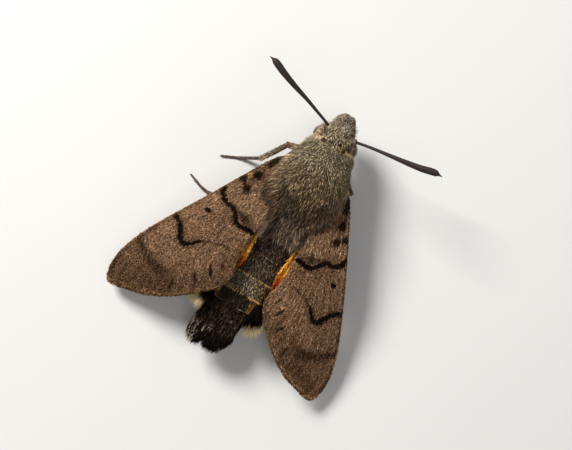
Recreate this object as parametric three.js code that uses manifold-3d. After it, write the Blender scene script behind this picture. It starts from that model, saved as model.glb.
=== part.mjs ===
// A hummingbird hawk moth at rest, life size, in millimetres.
// It faces -Y and its left side is +X. It stands on six feet on the plane z = 0, with its wings
// folded back like a roof, its feelers spread and its tail tuft fanned.
import * as THREE from "three";
import { mergeVertices } from "three/addons/utils/BufferGeometryUtils.js";
import Module from "manifold-3d";

const wasm = await Module();
wasm.setup();

// Driving sizes
const GAP = 0.3; // left between neighbouring pieces
const NECK_Y = -1.9; // plane between head and thorax
const WAIST_Y = 7.0; // plane between thorax and abdomen
const TAIL_Y = 16.45; // plane between abdomen and tail tuft
const TAIL_BOW = 0.6; // how far the body's end swings to the moth's left
const BOW_FROM = 8.0;
const BOW_TO = 18.0;
const WING_THICK = 0.52;
const WING_EDGE = 0.32;
const VEIN_RISE = 0.14;
const TUFT_SEED = 7;

// Body sections, from front to back: y, half width, top, bottom
const HEAD = [
  [-5.35, 0.7, 5.9, 5.0],
  [-5.05, 1.1, 6.2, 4.62],
  [-4.5, 1.35, 6.6, 4.15],
  [-3.9, 1.6, 6.9, 3.85],
  [-3.2, 1.85, 7.1, 3.72],
  [-2.5, 2.05, 7.2, 3.68],
  [-1.8, 2.2, 7.2, 3.7],
];
const THORAX = [
  [-2.4, 2.2, 7.05, 3.75],
  [-1.6, 2.78, 7.65, 3.15],
  [-0.5, 3.3, 8.25, 2.75],
  [0.8, 3.75, 8.6, 2.6],
  [2.2, 3.92, 8.65, 2.6],
  [3.6, 3.85, 8.4, 2.7],
  [5.2, 3.35, 7.75, 2.9],
  [7.1, 2.72, 6.9, 3.2],
];
const ABDOMEN = [
  [6.9, 2.7, 6.75, 3.25],
  [9.0, 2.8, 6.25, 3.0],
  [11.0, 2.85, 5.9, 2.8],
  [13.0, 2.88, 5.62, 2.65],
  [15.0, 2.9, 5.35, 2.55],
  [16.6, 2.82, 5.05, 2.5],
];
const SEGMENT_ENDS = [8.65, 10.6, 12.95, 14.85, 16.3]; // rear edges of the abdomen's rings
const SEGMENT_STEP = 0.14;

// Joins, cuts and closed meshes

function solidFrom(points, faces) {
  const vertProperties = new Float32Array(points.flatMap((p) => [p.x, p.y, p.z]));
  let volume = 0;
  for (const [a, b, c] of faces) {
    volume += points[a].dot(new THREE.Vector3().crossVectors(points[b], points[c]));
  }
  const out = volume < 0 ? faces.map(([a, b, c]) => [a, c, b]) : faces;
  const triVerts = new Uint32Array(out.flat());
  return new wasm.Manifold(new wasm.Mesh({ numProp: 3, vertProperties, triVerts }));
}

function solidOf(geometry) {
  const bare = geometry.clone();
  bare.deleteAttribute("normal");
  bare.deleteAttribute("uv");
  const merged = mergeVertices(bare, 1e-4);
  const at = merged.getAttribute("position");
  const points = [];
  for (let i = 0; i < at.count; i++) points.push(new THREE.Vector3().fromBufferAttribute(at, i));
  const index = merged.index.array;
  const faces = [];
  for (let i = 0; i < index.length; i += 3) faces.push([index[i], index[i + 1], index[i + 2]]);
  return solidFrom(points, faces);
}

function largest(solid) {
  return solid.decompose().reduce((a, b) => (b.volume() > a.volume() ? b : a));
}

function joined(solids) {
  return solids.reduce((a, b) => a.add(b));
}

function meshOf(name, solid, material) {
  const made = largest(solid).getMesh();
  const position = new Float32Array(made.numVert * 3);
  for (let i = 0; i < made.numVert; i++) {
    position.set(made.vertProperties.subarray(i * made.numProp, i * made.numProp + 3), i * 3);
  }
  const geometry = new THREE.BufferGeometry();
  geometry.setAttribute("position", new THREE.BufferAttribute(position, 3));
  geometry.setIndex(new THREE.BufferAttribute(new Uint32Array(made.triVerts), 1));
  geometry.computeVertexNormals();
  const mesh = new THREE.Mesh(geometry, material);
  mesh.name = name;
  return mesh;
}

function boxSolid(low, high) {
  const size = new THREE.Vector3().subVectors(high, low);
  const box = new THREE.BoxGeometry(size.x, size.y, size.z);
  box.translate((low.x + high.x) / 2, (low.y + high.y) / 2, (low.z + high.z) / 2);
  return solidOf(box);
}

const FAR = 40;
const behind = (y) => boxSolid(new THREE.Vector3(-FAR, y, -FAR), new THREE.Vector3(FAR, FAR, FAR));
const ahead = (y) => boxSolid(new THREE.Vector3(-FAR, -FAR, -FAR), new THREE.Vector3(FAR, y, FAR));

// A closed skin over rings of points, each ring with the same number of points.
function loft(rings) {
  const count = rings[0].length;
  const points = rings.flat();
  const faces = [];
  for (let r = 0; r + 1 < rings.length; r++) {
    for (let i = 0; i < count; i++) {
      const a = r * count + i;
      const b = r * count + ((i + 1) % count);
      faces.push([a, b, a + count], [b, b + count, a + count]);
    }
  }
  const cap = (ring, flip) => {
    const centre = new THREE.Vector3();
    for (const p of rings[ring]) centre.addScaledVector(p, 1 / count);
    points.push(centre);
    const c = points.length - 1;
    for (let i = 0; i < count; i++) {
      const a = ring * count + i;
      const b = ring * count + ((i + 1) % count);
      faces.push(flip ? [c, b, a] : [c, a, b]);
    }
  };
  cap(0, true);
  cap(rings.length - 1, false);
  return solidFrom(points, faces);
}

// A smooth row of numbers at t, from rows [t, ...numbers] in rising order of t.
function smooth(rows, t) {
  const last = rows.length - 1;
  let i = 0;
  while (i < last - 1 && t > rows[i + 1][0]) i++;
  const [a, b] = [rows[i], rows[i + 1]];
  const before = rows[Math.max(i - 1, 0)];
  const after = rows[Math.min(i + 2, last)];
  const span = b[0] - a[0];
  const u = Math.min(Math.max((t - a[0]) / span, 0), 1);
  return a.slice(1).map((_, k) => {
    const slopeA = ((b[k + 1] - before[k + 1]) / (b[0] - before[0])) * span;
    const slopeB = ((after[k + 1] - a[k + 1]) / (after[0] - a[0])) * span;
    return (
      (2 * u ** 3 - 3 * u ** 2 + 1) * a[k + 1] +
      (u ** 3 - 2 * u ** 2 + u) * slopeA +
      (3 * u ** 2 - 2 * u ** 3) * b[k + 1] +
      (u ** 3 - u ** 2) * slopeB
    );
  });
}

function bowAt(y) {
  const t = Math.min(Math.max((y - BOW_FROM) / (BOW_TO - BOW_FROM), 0), 1);
  return TAIL_BOW * t * t * (3 - 2 * t);
}

// The outline of the body at y, on a rounded-off oval, swollen by grow.
const OVAL = 2.2;
function sectionAt(table, y, grow, sides, step = 0) {
  const [half, top, bottom] = smooth(table, y);
  const middle = (top + bottom) / 2;
  return Array.from({ length: sides }, (_, i) => {
    const turn = (i / sides) * 2 * Math.PI;
    const [c, s] = [Math.cos(turn), Math.sin(turn)];
    const x = Math.sign(c) * Math.abs(c) ** (2 / OVAL) * (half + grow + step);
    const z = Math.sign(s) * Math.abs(s) ** (2 / OVAL) * ((top - bottom) / 2 + grow + step);
    return new THREE.Vector3(bowAt(y) + x, y, middle + z);
  });
}

function bodyShape(table, grow = 0, rows = 11, sides = 22) {
  const [start, end] = [table[0][0] - grow, table[table.length - 1][0] + grow];
  const rings = [];
  for (let i = 0; i <= rows; i++) {
    rings.push(sectionAt(table, start + ((end - start) * i) / rows, grow, sides));
  }
  return loft(rings);
}

// A limb or stalk: a tube along a smooth line, with a radius for each share of its length.
function stalk(points, radii, rows, sides, flatten = 1) {
  const line = new THREE.CatmullRomCurve3(points);
  const frames = line.computeFrenetFrames(rows, false);
  const rings = [];
  for (let i = 0; i <= rows; i++) {
    const t = i / rows;
    const at = line.getPointAt(t);
    const [radius] = smooth(radii, t);
    rings.push(
      Array.from({ length: sides }, (_, k) => {
        const turn = (k / sides) * 2 * Math.PI;
        return at
          .clone()
          .addScaledVector(frames.normals[i], Math.cos(turn) * radius)
          .addScaledVector(frames.binormals[i], Math.sin(turn) * radius * flatten);
      }),
    );
  }
  return loft(rings);
}

// A flat, tapered lock from root along way, bending by bend, with its flat side facing up.
const LOCK_SHARES = [
  [0, 0.7, 1],
  [0.4, 1, 0.95],
  [0.78, 0.85, 0.7],
  [1, 0.42, 0.35],
]; // share of the length, of the width and of the thickness
const UP = new THREE.Vector3(0, 0, 1);

function lock(root, way, length, width, thick, bend, up = UP) {
  const along = way.clone().normalize();
  const side = new THREE.Vector3().crossVectors(up, along).normalize();
  const face = new THREE.Vector3().crossVectors(along, side);
  const rings = LOCK_SHARES.map(([t, wide, deep]) => {
    const at = root.clone().addScaledVector(along, t * length).addScaledVector(bend, t * t);
    const [w, d] = [(width / 2) * wide, (thick / 2) * deep];
    return [
      at.clone().addScaledVector(side, w),
      at.clone().addScaledVector(face, d),
      at.clone().addScaledVector(side, -w),
      at.clone().addScaledVector(face, -d),
    ];
  });
  return loft(rings);
}

function randomFrom(seed) {
  let state = seed;
  return () => {
    state = (state * 1664525 + 1013904223) % 4294967296;
    return state / 4294967296;
  };
}

// Materials
function coat(color, roughness = 0.9) {
  return new THREE.MeshStandardMaterial({ color, roughness, metalness: 0 });
}
const GREY_FUR = coat(0x6f6857);
const DARK_FUR = coat(0x3a342d);
const BLACK_FUR = coat(0x211c18);
const WING_BROWN = coat(0x6d5441);
const ORANGE = coat(0xd9781e);
const LEG_GREY = coat(0x5d5144);
const FEELER = coat(0x2c2220, 0.7);
const EYE = coat(0x24150d, 0.25);

const moth = new THREE.Group();
const add = (name, solid, material) => moth.add(meshOf(name, solid, material));
const SIDES = [
  ["left", 1],
  ["right", -1],
];

// Eyes: the outer part of a ball, each in a socket with a flat floor
const EYE_AT = new THREE.Vector3(1.56, -2.92, 5.1);
const EYE_RADIUS = 0.96;
const EYE_FLOOR = 1.28;
const thoraxSwollen = bodyShape(THORAX, GAP);
const abdomenSwollen = bodyShape(ABDOMEN, GAP);
const headSwollen = bodyShape(HEAD, GAP);

function eyeBall(sign, radius, floor) {
  const ball = new THREE.SphereGeometry(radius, 14, 10);
  ball.scale(1, 1, 1.08);
  ball.translate(sign * EYE_AT.x, EYE_AT.y, EYE_AT.z);
  const inner = sign > 0 ? [-FAR, floor] : [-floor, FAR];
  const slab = boxSolid(new THREE.Vector3(inner[0], -FAR, -FAR), new THREE.Vector3(inner[1], FAR, FAR));
  return solidOf(ball).subtract(slab);
}

// Feelers: thin at the root, thickest near the end, with a short hooked point
const FEELER_ROOT = new THREE.Vector3(1.2, -3.8, 6.4);
const FEELER_RADII = [
  [0, 0.25],
  [0.35, 0.25],
  [0.7, 0.33],
  [0.9, 0.37],
  [0.965, 0.24],
  [1, 0.06],
];
const FEELER_LINES = {
  left: [
    [3.05, -4.35, 6.95],
    [4.9, -4.9, 7.5],
    [6.8, -5.4, 8.0],
    [8.35, -5.9, 8.3],
    [9.5, -6.35, 8.45],
    [10.25, -6.5, 8.5],
  ],
  right: [
    [2.9, -4.15, 6.95],
    [4.6, -4.4, 7.5],
    [6.4, -4.65, 8.0],
    [8.2, -4.95, 8.3],
    [9.6, -5.3, 8.45],
    [10.5, -5.35, 8.5],
  ],
};
const FEELER_STEPS = 20;

function feeler(side, sign, grow = 0) {
  const points = [FEELER_ROOT, ...FEELER_LINES[side].map((p) => new THREE.Vector3(...p))];
  const back = new THREE.Vector3().subVectors(points[0], points[1]).setLength(grow);
  points[0] = points[0].clone().add(back);
  const turned = points.map((p) => new THREE.Vector3(p.x * sign, p.y, p.z));
  const radii = FEELER_RADII.map(([t, r]) => [t, r + grow]);
  return stalk(turned, radii, FEELER_STEPS, 8);
}

// Palps: two broad scaled mouth feelers, side by side, that make the snout
const PALP_LINE = [
  [0.8, -3.3, 3.7],
  [0.84, -4.3, 3.35],
  [0.8, -5.05, 3.75],
  [0.56, -5.42, 4.5],
  [0.35, -5.52, 5.22],
];
const PALP_RADII = [
  [0, 0.36],
  [0.3, 0.54],
  [0.6, 0.64],
  [0.85, 0.58],
  [1, 0.3],
];
const PALP_FLAT = 0.9;

function palp(sign) {
  const points = PALP_LINE.map(([x, y, z]) => new THREE.Vector3(x * sign, y, z));
  const inner = sign > 0 ? [-FAR, GAP / 2] : [-GAP / 2, FAR];
  const slab = boxSolid(new THREE.Vector3(inner[0], -FAR, -FAR), new THREE.Vector3(inner[1], FAR, FAR));
  return stalk(points, PALP_RADII, 8, 10, PALP_FLAT).subtract(slab);
}

// Proboscis: coiled like a watch spring between the palps, made as one dished disc
const COIL_AT = new THREE.Vector3(0, -4.3, 3.1);
const COIL_RADIUS = 0.9;
const COIL_HALF = 0.25;

function coil(grow = 0) {
  const [radius, half] = [COIL_RADIUS + grow, COIL_HALF + grow];
  const profile = [
    [0, half * 0.6],
    [radius * 0.4, half * 0.7],
    [radius * 0.75, half],
    [radius * 0.94, half * 0.7],
    [radius, 0],
  ];
  const mirrored = profile.slice(0, -1).map(([r, h]) => [r, -h]);
  const points = [...mirrored, ...profile.slice().reverse()].map(([r, h]) => new THREE.Vector2(r, h));
  const disc = new THREE.LatheGeometry(points, 16);
  disc.rotateZ(Math.PI / 2);
  disc.translate(COIL_AT.x, COIL_AT.y, COIL_AT.z);
  return solidOf(disc);
}

let head = bodyShape(HEAD, 0, 9, 22).subtract(behind(NECK_Y - GAP / 2));
for (const [side, sign] of SIDES) {
  head = head.subtract(eyeBall(sign, EYE_RADIUS + GAP, EYE_FLOOR - GAP));
  head = head.subtract(feeler(side, sign, GAP));
}
add("head", head, GREY_FUR);
for (const [side, sign] of SIDES) {
  const eyeSwollen = eyeBall(sign, EYE_RADIUS + GAP, EYE_FLOOR - GAP);
  add(`eye_${side}`, eyeBall(sign, EYE_RADIUS, EYE_FLOOR), EYE);
  const clear = joined([headSwollen, eyeSwollen, coil(GAP)]);
  add(`palp_${side}`, palp(sign).subtract(clear), GREY_FUR);
  add(`antenna_${side}`, feeler(side, sign), FEELER);
}
add("proboscis", coil().subtract(headSwollen), FEELER);

// Legs: joints as root in the body, knee, heel and toe. The foot lies on the floor.
const THIGH = [
  [0, 0.42],
  [0.5, 0.4],
  [1, 0.34],
];
const SHANK = [
  [0, 0.32],
  [0.6, 0.36],
  [1, 0.32],
];
const FOOT = [
  [0, 0.28],
  [0.6, 0.26],
  [1, 0.15],
];
const SOLE_LINE = 0.2; // height of a foot's middle line over the floor
const TOE_LINE = 0.16;
const LEGS = {
  front_left: {
    hip: [1.53, -0.87, 3.17],
    knee: [3.72, -0.3, 3.1],
    heel: [5.25, 2.25, 1.6],
    foot: [[7.0, 3.3], [8.7, 4.1]],
  },
  front_right: {
    hip: [1.53, -0.87, 3.17],
    knee: [4.2, 0.6, 3.6],
    heel: [3.3, -0.6, 0.75],
    foot: [[2.4, -2.3], [1.6, -4.3]],
  },
  middle_left: {
    hip: [1.9, 1.9, 3.0],
    knee: [4.4, 4.2, 3.0],
    heel: [6.3, 7.75, 0.9],
    foot: [[8.4, 8.0], [10.35, 7.4]],
  },
  middle_right: {
    hip: [1.9, 1.9, 3.0],
    knee: [4.4, 4.0, 3.0],
    heel: [5.6, 7.2, 0.8],
    foot: [[6.3, 9.0], [7.2, 11.0]],
  },
  hind_left: {
    hip: [1.62, 4.33, 3.08],
    knee: [3.5, 7.0, 2.9],
    heel: [4.9, 11.2, 0.85],
    foot: [[5.2, 13.1], [5.6, 15.2]],
  },
  hind_right: {
    hip: [1.65, 4.27, 3.12],
    knee: [3.5, 7.0, 2.9],
    heel: [4.8, 11.0, 0.85],
    foot: [[5.3, 12.9], [5.9, 15.0]],
  },
};

// A jointed length through corners, bent and cut on the planes that halve each joint. before and
// after are the ways of the lengths it meets there, GAP away.
const LIMB_SIDES = 9;

function limb(corners, before, after, radii, rows) {
  const ways = corners.slice(1).map((p, i) => new THREE.Vector3().subVectors(p, corners[i]).normalize());
  const halving = (a, b) => a.clone().add(b).normalize();
  const rings = [];
  ways.forEach((along, i) => {
    const start = i ? halving(ways[i - 1], along) : before ? halving(before, along) : along;
    const end = i + 1 < ways.length ? halving(along, ways[i + 1]) : after ? halving(along, after) : along;
    const startShift = i === 0 && before ? GAP / 2 / along.dot(start) : 0;
    const endShift = i + 1 === ways.length && after ? -GAP / 2 / along.dot(end) : 0;
    const side = new THREE.Vector3().crossVectors(along, UP).normalize();
    const face = new THREE.Vector3().crossVectors(side, along);
    for (let row = i ? 1 : 0; row <= rows; row++) {
      const t = row / rows;
      const [radius] = smooth(radii, (i + t) / ways.length);
      rings.push(
        Array.from({ length: LIMB_SIDES }, (_, k) => {
          const turn = ((k + 0.5) / LIMB_SIDES) * 2 * Math.PI;
          const spoke = new THREE.Vector3().addScaledVector(side, Math.cos(turn) * radius);
          spoke.addScaledVector(face, Math.sin(turn) * radius);
          const onPlane = (corner, normal, shift) => {
            const lean = -spoke.dot(normal) / along.dot(normal);
            return corner.clone().add(spoke).addScaledVector(along, lean + shift);
          };
          const first = onPlane(corners[i], start, startShift);
          return first.lerp(onPlane(corners[i + 1], end, endShift), t);
        }),
      );
    }
  });
  return loft(rings);
}

const floor = boxSolid(new THREE.Vector3(-FAR, -FAR, -FAR), new THREE.Vector3(FAR, FAR, 0));

function leg(name, plan) {
  const sign = name.endsWith("left") ? 1 : -1;
  const at = ([x, y, z]) => new THREE.Vector3(x * sign, y, z);
  const [hip, knee, heel] = [plan.hip, plan.knee, plan.heel].map(at);
  const toes = plan.foot.map(([x, y], i) => at([x, y, i ? TOE_LINE : SOLE_LINE]));
  const way = (a, b) => new THREE.Vector3().subVectors(b, a).normalize();
  const thigh = limb([hip, knee], null, way(knee, heel), THIGH, 3);
  const shank = limb([knee, heel], way(hip, knee), way(heel, toes[0]), SHANK, 3);
  const foot = limb([heel, ...toes], way(knee, heel), null, FOOT, 3);
  add(`leg_${name}_femur`, thigh.subtract(thoraxSwollen), LEG_GREY);
  add(`leg_${name}_tibia`, shank, LEG_GREY);
  add(`leg_${name}_tarsus`, foot.subtract(floor), LEG_GREY);
}
for (const [name, plan] of Object.entries(LEGS)) leg(name, plan);

// Wings: outline seen from above. Each patch runs from the root out to the outer edge, and from
// the leading edge back to the inner edge. A roof plane and a low crown give its height.
const FORE = {
  leading: [
    [2.9, 0.4], [4.2, 1.35], [4.98, 2.5], [6.4, 5.0], [8.6, 9.0],
    [10.85, 13.1], [11.85, 15.2], [12.58, 17.4], [12.78, 19.3], [12.58, 20.3],
  ],
  outer: [
    [12.58, 20.3], [11.98, 20.76], [10.2, 20.4], [8.1, 19.7],
    [6.03, 18.46], [4.0, 16.75], [2.75, 15.5], [2.3, 14.8],
  ],
  inner: [
    [1.5, 4.6], [2.1, 6.6], [2.45, 9.0], [2.62, 10.8],
    [2.5, 12.2], [2.2, 13.5], [2.14, 14.2], [2.3, 14.8],
  ],
  // each vein's share from the leading to the inner edge, and where it starts on the way out
  veins: [
    [0.03, 0], [0.12, 0], [0.21, 0.42], [0.31, 0.46], [0.42, 0.48],
    [0.52, 0], [0.63, 0.36], [0.74, 0.28], [0.9, 0],
  ],
  rows: 12,
};
const HIND = {
  leading: [[2.6, 2.6], [4.4, 4.6], [6.6, 7.6], [8.6, 10.6], [9.7, 12.6]],
  outer: [
    [9.7, 12.6], [9.9, 13.6], [8.6, 14.3], [6.4, 14.5],
    [4.4, 14.1], [2.6, 13.1], [2.05, 12.7],
  ],
  inner: [[1.5, 5.2], [2.0, 8.2], [1.95, 9.8], [1.78, 11.2], [1.85, 12.1], [2.05, 12.7]],
  veins: [[0.06, 0], [0.26, 0], [0.43, 0.4], [0.6, 0], [0.78, 0]],
  rows: 8,
};

function planCurve(pairs) {
  const points = pairs.map(([x, y]) => new THREE.Vector3(x, y, 0));
  return new THREE.CatmullRomCurve3(points, false, "centripetal");
}

function planPatch(wing) {
  const [lead, outer, inner] = [wing.leading, wing.outer, wing.inner].map(planCurve);
  const rootA = lead.getPointAt(0);
  const rootB = inner.getPointAt(0);
  const [tip, heel] = [lead.getPointAt(1), inner.getPointAt(1)];
  return (s, t) => {
    const across = lead.getPointAt(s).multiplyScalar(1 - t).addScaledVector(inner.getPointAt(s), t);
    const along = rootA.clone().lerp(rootB, t).multiplyScalar(1 - s);
    along.addScaledVector(outer.getPointAt(t), s);
    const corners = rootA
      .clone()
      .multiplyScalar((1 - s) * (1 - t))
      .addScaledVector(rootB, (1 - s) * t)
      .addScaledVector(tip, s * (1 - t))
      .addScaledVector(heel, s * t);
    return across.add(along).sub(corners);
  };
}

const ROOF_AT = [2.3, 14.4, 6.45]; // where the two wings' inner edges come nearest
const ROOF_SLOPE = [-0.43, -0.098];
const ROOF_CROWN = 0.35;
const ROOF_REACH = 9.0;
const ROOT_DIP = 1.4; // how far the wings sink towards their roots in the thorax's flanks
const ROOT_FROM = 0.5;
const ROOT_TO = 9.5;

function roof(x, y) {
  const [x0, y0, z0] = ROOF_AT;
  const out = Math.min(Math.max((x - x0) / ROOF_REACH, 0), 1);
  const back = Math.min(Math.max((y - ROOT_FROM) / (ROOT_TO - ROOT_FROM), 0), 1);
  const plane = z0 + ROOF_SLOPE[0] * (x - x0) + ROOF_SLOPE[1] * (y - y0);
  const dip = ROOT_DIP * (1 - back * back * (3 - 2 * back));
  return plane + ROOF_CROWN * Math.sin(out * Math.PI) - dip;
}

// The columns of a wing's mesh: one on each vein and one on each flank of it.
const FLANK = 0.026;
const FLAT = 2; // a start past the wing's edge, so that no ridge rises there
function columnsOf(veins) {
  const all = [[0, FLAT]];
  for (const [t, start] of veins) all.push([t - FLANK, FLAT], [t, start], [t + FLANK, FLAT]);
  all.push([1, FLAT]);
  return all;
}

// How high a vein stands at share s of the way out: it fades in where it starts and out at the edge.
const VEIN_FADE = 0.12;
function veinHeight(s, start) {
  const rise = Math.min(Math.max((s - start) / VEIN_FADE, start === 0 ? 0.4 : 0), 1);
  return VEIN_RISE * rise * Math.min(1, (1 - s) / VEIN_FADE) * (start > 1 ? 0 : 1);
}

function wingSolid(wing, sign, heightOf, thick) {
  const patch = planPatch(wing);
  const columns = columnsOf(wing.veins);
  const wide = columns.length;
  const [top, under] = [[], []];
  for (let r = 0; r <= wing.rows; r++) {
    const s = r / wing.rows;
    for (const [t, start] of columns) {
      const edge = s === 1 || t === 0 || t === 1;
      const at = patch(s, t);
      const z = heightOf(at.x, at.y);
      const ridge = veinHeight(s, start);
      const half = (edge ? Math.min(WING_EDGE, thick) : thick) / 2;
      top.push(new THREE.Vector3(at.x * sign, at.y, z + half + ridge));
      under.push(new THREE.Vector3(at.x * sign, at.y, z - half));
    }
  }
  const points = [...top, ...under];
  const off = top.length;
  const faces = [];
  for (let r = 0; r < wing.rows; r++) {
    for (let c = 0; c + 1 < wide; c++) {
      const [a, b] = [r * wide + c, r * wide + c + 1];
      const [d, e] = [a + wide, b + wide];
      faces.push([a, b, e], [a, e, d]);
      faces.push([a + off, e + off, b + off], [a + off, d + off, e + off]);
    }
  }
  const rim = [];
  for (let c = 0; c < wide; c++) rim.push(c);
  for (let r = 1; r <= wing.rows; r++) rim.push(r * wide + wide - 1);
  for (let c = wide - 2; c >= 0; c--) rim.push(wing.rows * wide + c);
  for (let r = wing.rows - 1; r >= 1; r--) rim.push(r * wide);
  rim.forEach((a, i) => {
    const b = rim[(i + 1) % rim.length];
    faces.push([b, a, a + off], [b, a + off, b + off]);
  });
  return solidFrom(points, faces);
}

// The hind wing lies under the fore wing, and its inner edge rests over the abdomen's flank.
const HIND_THICK = 0.46;
const HIND_DROP = WING_THICK / 2 + GAP + VEIN_RISE + HIND_THICK / 2 + 0.05;
const hindHeight = (x, y) => roof(x, y) - HIND_DROP;

for (const [side, sign] of SIDES) {
  const fore = wingSolid(FORE, sign, roof, WING_THICK);
  const hind = wingSolid(HIND, sign, hindHeight, HIND_THICK);
  add(`forewing_${side}`, fore.subtract(thoraxSwollen).subtract(abdomenSwollen), WING_BROWN);
  add(`hindwing_${side}`, hind.subtract(thoraxSwollen).subtract(abdomenSwollen), ORANGE);
}

// Thorax
const trunk = bodyShape(THORAX, 0, 13, 24).subtract(ahead(NECK_Y + GAP / 2));
add("thorax", trunk.subtract(behind(WAIST_Y - GAP / 2)), GREY_FUR);

// Abdomen: rings that step down behind each rear edge, with tufts along the flanks
const SIDE_TUFTS = [
  { y: 12.0, count: 3, length: 2.1, out: 0.62 },
  { y: 13.8, count: 3, length: 2.6, out: 0.66 },
  { y: 15.1, count: 4, length: 3.2, out: 0.68 },
]; // where each starts, its locks, their length and how far they stand out
const TUFT_DEPTH = 0.75; // how deep their roots lie in the flank
const random = randomFrom(TUFT_SEED);

const ABDOMEN_SIDES = 22;

function abdomen() {
  const rings = [];
  const ring = (y, step) => rings.push(sectionAt(ABDOMEN, y, 0, ABDOMEN_SIDES, step * SEGMENT_STEP));
  let start = WAIST_Y + GAP / 2;
  for (const end of SEGMENT_ENDS) {
    ring(start + SEGMENT_STEP / 4, -0.5);
    ring((start + end) / 2, 0.25);
    ring(end, 0.5);
    start = end;
  }
  return loft(rings);
}

function sideTufts(sign) {
  return SIDE_TUFTS.flatMap(({ y, count, length, out }) =>
    Array.from({ length: count }, (_, i) => {
      const [half, top, bottom] = smooth(ABDOMEN, y);
      const lift = (i / (count - 1) - 0.5) * 1.3;
      const out0 = bowAt(y) + sign * (half - TUFT_DEPTH);
      const root = new THREE.Vector3(out0, y + 0.15 * i, (top + bottom) / 2 - 0.2 + lift);
      const way = new THREE.Vector3(sign * out, 1, 0.08 * lift - 0.04);
      const bend = new THREE.Vector3(-sign * 0.4, 0.1, -0.1);
      const flat = new THREE.Vector3(-sign, 0.7, 0.5);
      return lock(root, way, length + 0.3 * random(), 1.0, 0.62, bend, flat);
    }),
  );
}
add("abdomen", joined([abdomen(), ...SIDES.flatMap(([, sign]) => sideTufts(sign))]), DARK_FUR);

// Tail tuft: three tiers of broad flat locks that fan out from the body's end, with a short core
const TAIL = { end: 21.75, round: 1.0, notch: 0.5, rootHalf: 1.85, endHalf: 1.85, bow: 0.35, drop: 0.75 };
const TIERS = [
  { z: 4.5, locks: 6, reach: 0.9 },
  { z: 3.95, locks: 7, reach: 1.0 },
  { z: 3.4, locks: 6, reach: 0.94 },
];
const TAIL_LOCK = { width: 1.25, thick: 0.62, uneven: 0.35 };
const CORE_SHARE = 0.42;

function tailTuft() {
  const rootY = TAIL_Y + GAP / 2;
  const reachY = TAIL.end - rootY;
  const core = loft(
    [0, 0.5, 1].map((t) =>
      sectionAt(ABDOMEN, TAIL_Y, -0.4 - 0.4 * t * t, 18).map(
        (p) => new THREE.Vector3(p.x + 0.1 * t, rootY + t * reachY * CORE_SHARE, p.z - 0.35 * t),
      ),
    ),
  );
  const locks = TIERS.flatMap(({ z, locks: count, reach }) =>
    Array.from({ length: count }, (_, i) => {
      const share = (i / (count - 1)) * 2 - 1;
      const root = new THREE.Vector3(bowAt(TAIL_Y) + share * TAIL.rootHalf, rootY + 0.3, z);
      const short = TAIL.round * share ** 4 + TAIL.notch * Math.exp(-((share * 3) ** 2));
      const endY = rootY + reachY * reach - short + TAIL_LOCK.uneven * (random() - 0.5);
      const end = new THREE.Vector3(bowAt(endY) + share * TAIL.endHalf, endY, z - TAIL.drop);
      const bend = new THREE.Vector3(-share * TAIL.bow, 0, -0.15);
      const way = end.sub(bend).sub(root);
      return lock(root, way, way.length(), TAIL_LOCK.width, TAIL_LOCK.thick, bend);
    }),
  );
  return joined([core, ...locks]).subtract(ahead(rootY));
}
add("tail_tuft", tailTuft(), BLACK_FUR);

// The origin is under the middle of the whole moth, on the floor.
const bounds = new THREE.Box3().setFromObject(moth);
const middle = bounds.getCenter(new THREE.Vector3());
moth.position.set(-middle.x, -middle.y, -bounds.min.z);

export default moth;
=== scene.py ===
"""A hummingbird hawk moth at rest: one furred skin, scaled wings, eyes, feelers, palps and legs."""
import math

import bpy
import numpy as np
from mathutils import Matrix, Vector


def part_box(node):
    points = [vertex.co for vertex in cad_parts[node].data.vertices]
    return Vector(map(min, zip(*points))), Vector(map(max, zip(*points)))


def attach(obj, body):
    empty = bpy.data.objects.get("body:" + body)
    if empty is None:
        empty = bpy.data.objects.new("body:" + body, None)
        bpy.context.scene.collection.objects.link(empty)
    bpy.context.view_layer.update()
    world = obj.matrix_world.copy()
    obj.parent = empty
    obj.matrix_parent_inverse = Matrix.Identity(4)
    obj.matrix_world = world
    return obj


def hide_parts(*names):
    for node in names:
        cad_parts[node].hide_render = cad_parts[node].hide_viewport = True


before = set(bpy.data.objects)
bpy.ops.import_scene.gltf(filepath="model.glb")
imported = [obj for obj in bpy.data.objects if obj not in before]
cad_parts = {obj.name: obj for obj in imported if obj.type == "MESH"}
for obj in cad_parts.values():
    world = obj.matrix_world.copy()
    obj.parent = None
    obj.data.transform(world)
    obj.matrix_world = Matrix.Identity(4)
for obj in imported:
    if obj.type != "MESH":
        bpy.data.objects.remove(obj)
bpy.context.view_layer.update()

# Places are worked out in millimetres from the middle of the shoulders, on the floor: +X is the
# moth's left, +Y its tail and +Z up. SHIFT carries them into the row frame.
MM = 0.001
THORAX_FRONT = -1.75
thorax_low, thorax_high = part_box("thorax")
SHIFT = np.array([(thorax_low.x + thorax_high.x) / 2, thorax_low.y - THORAX_FRONT * MM, 0.0])
SEED = 11

# Body sections: y, half width, top, bottom
BODY = np.array([
    [-5.35, 0.7, 5.9, 5.0],
    [-5.05, 1.1, 6.2, 4.62],
    [-4.5, 1.35, 6.6, 4.15],
    [-3.9, 1.6, 6.9, 3.85],
    [-3.2, 1.85, 7.1, 3.72],
    [-2.5, 2.12, 7.22, 3.66],
    [-1.7, 2.7, 7.6, 3.2],
    [-0.5, 3.3, 8.25, 2.75],
    [0.8, 3.75, 8.6, 2.6],
    [2.2, 3.92, 8.65, 2.6],
    [3.6, 3.85, 8.4, 2.7],
    [5.2, 3.35, 7.75, 2.9],
    [7.1, 2.7, 6.75, 3.22],
    [9.0, 2.8, 6.25, 3.0],
    [11.0, 2.85, 5.9, 2.8],
    [13.0, 2.88, 5.62, 2.65],
    [15.0, 2.9, 5.35, 2.55],
    [16.6, 2.82, 5.05, 2.5],
])
NOSE_Y = -5.35
BODY_END = 16.3
OVAL = 2.2
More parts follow.
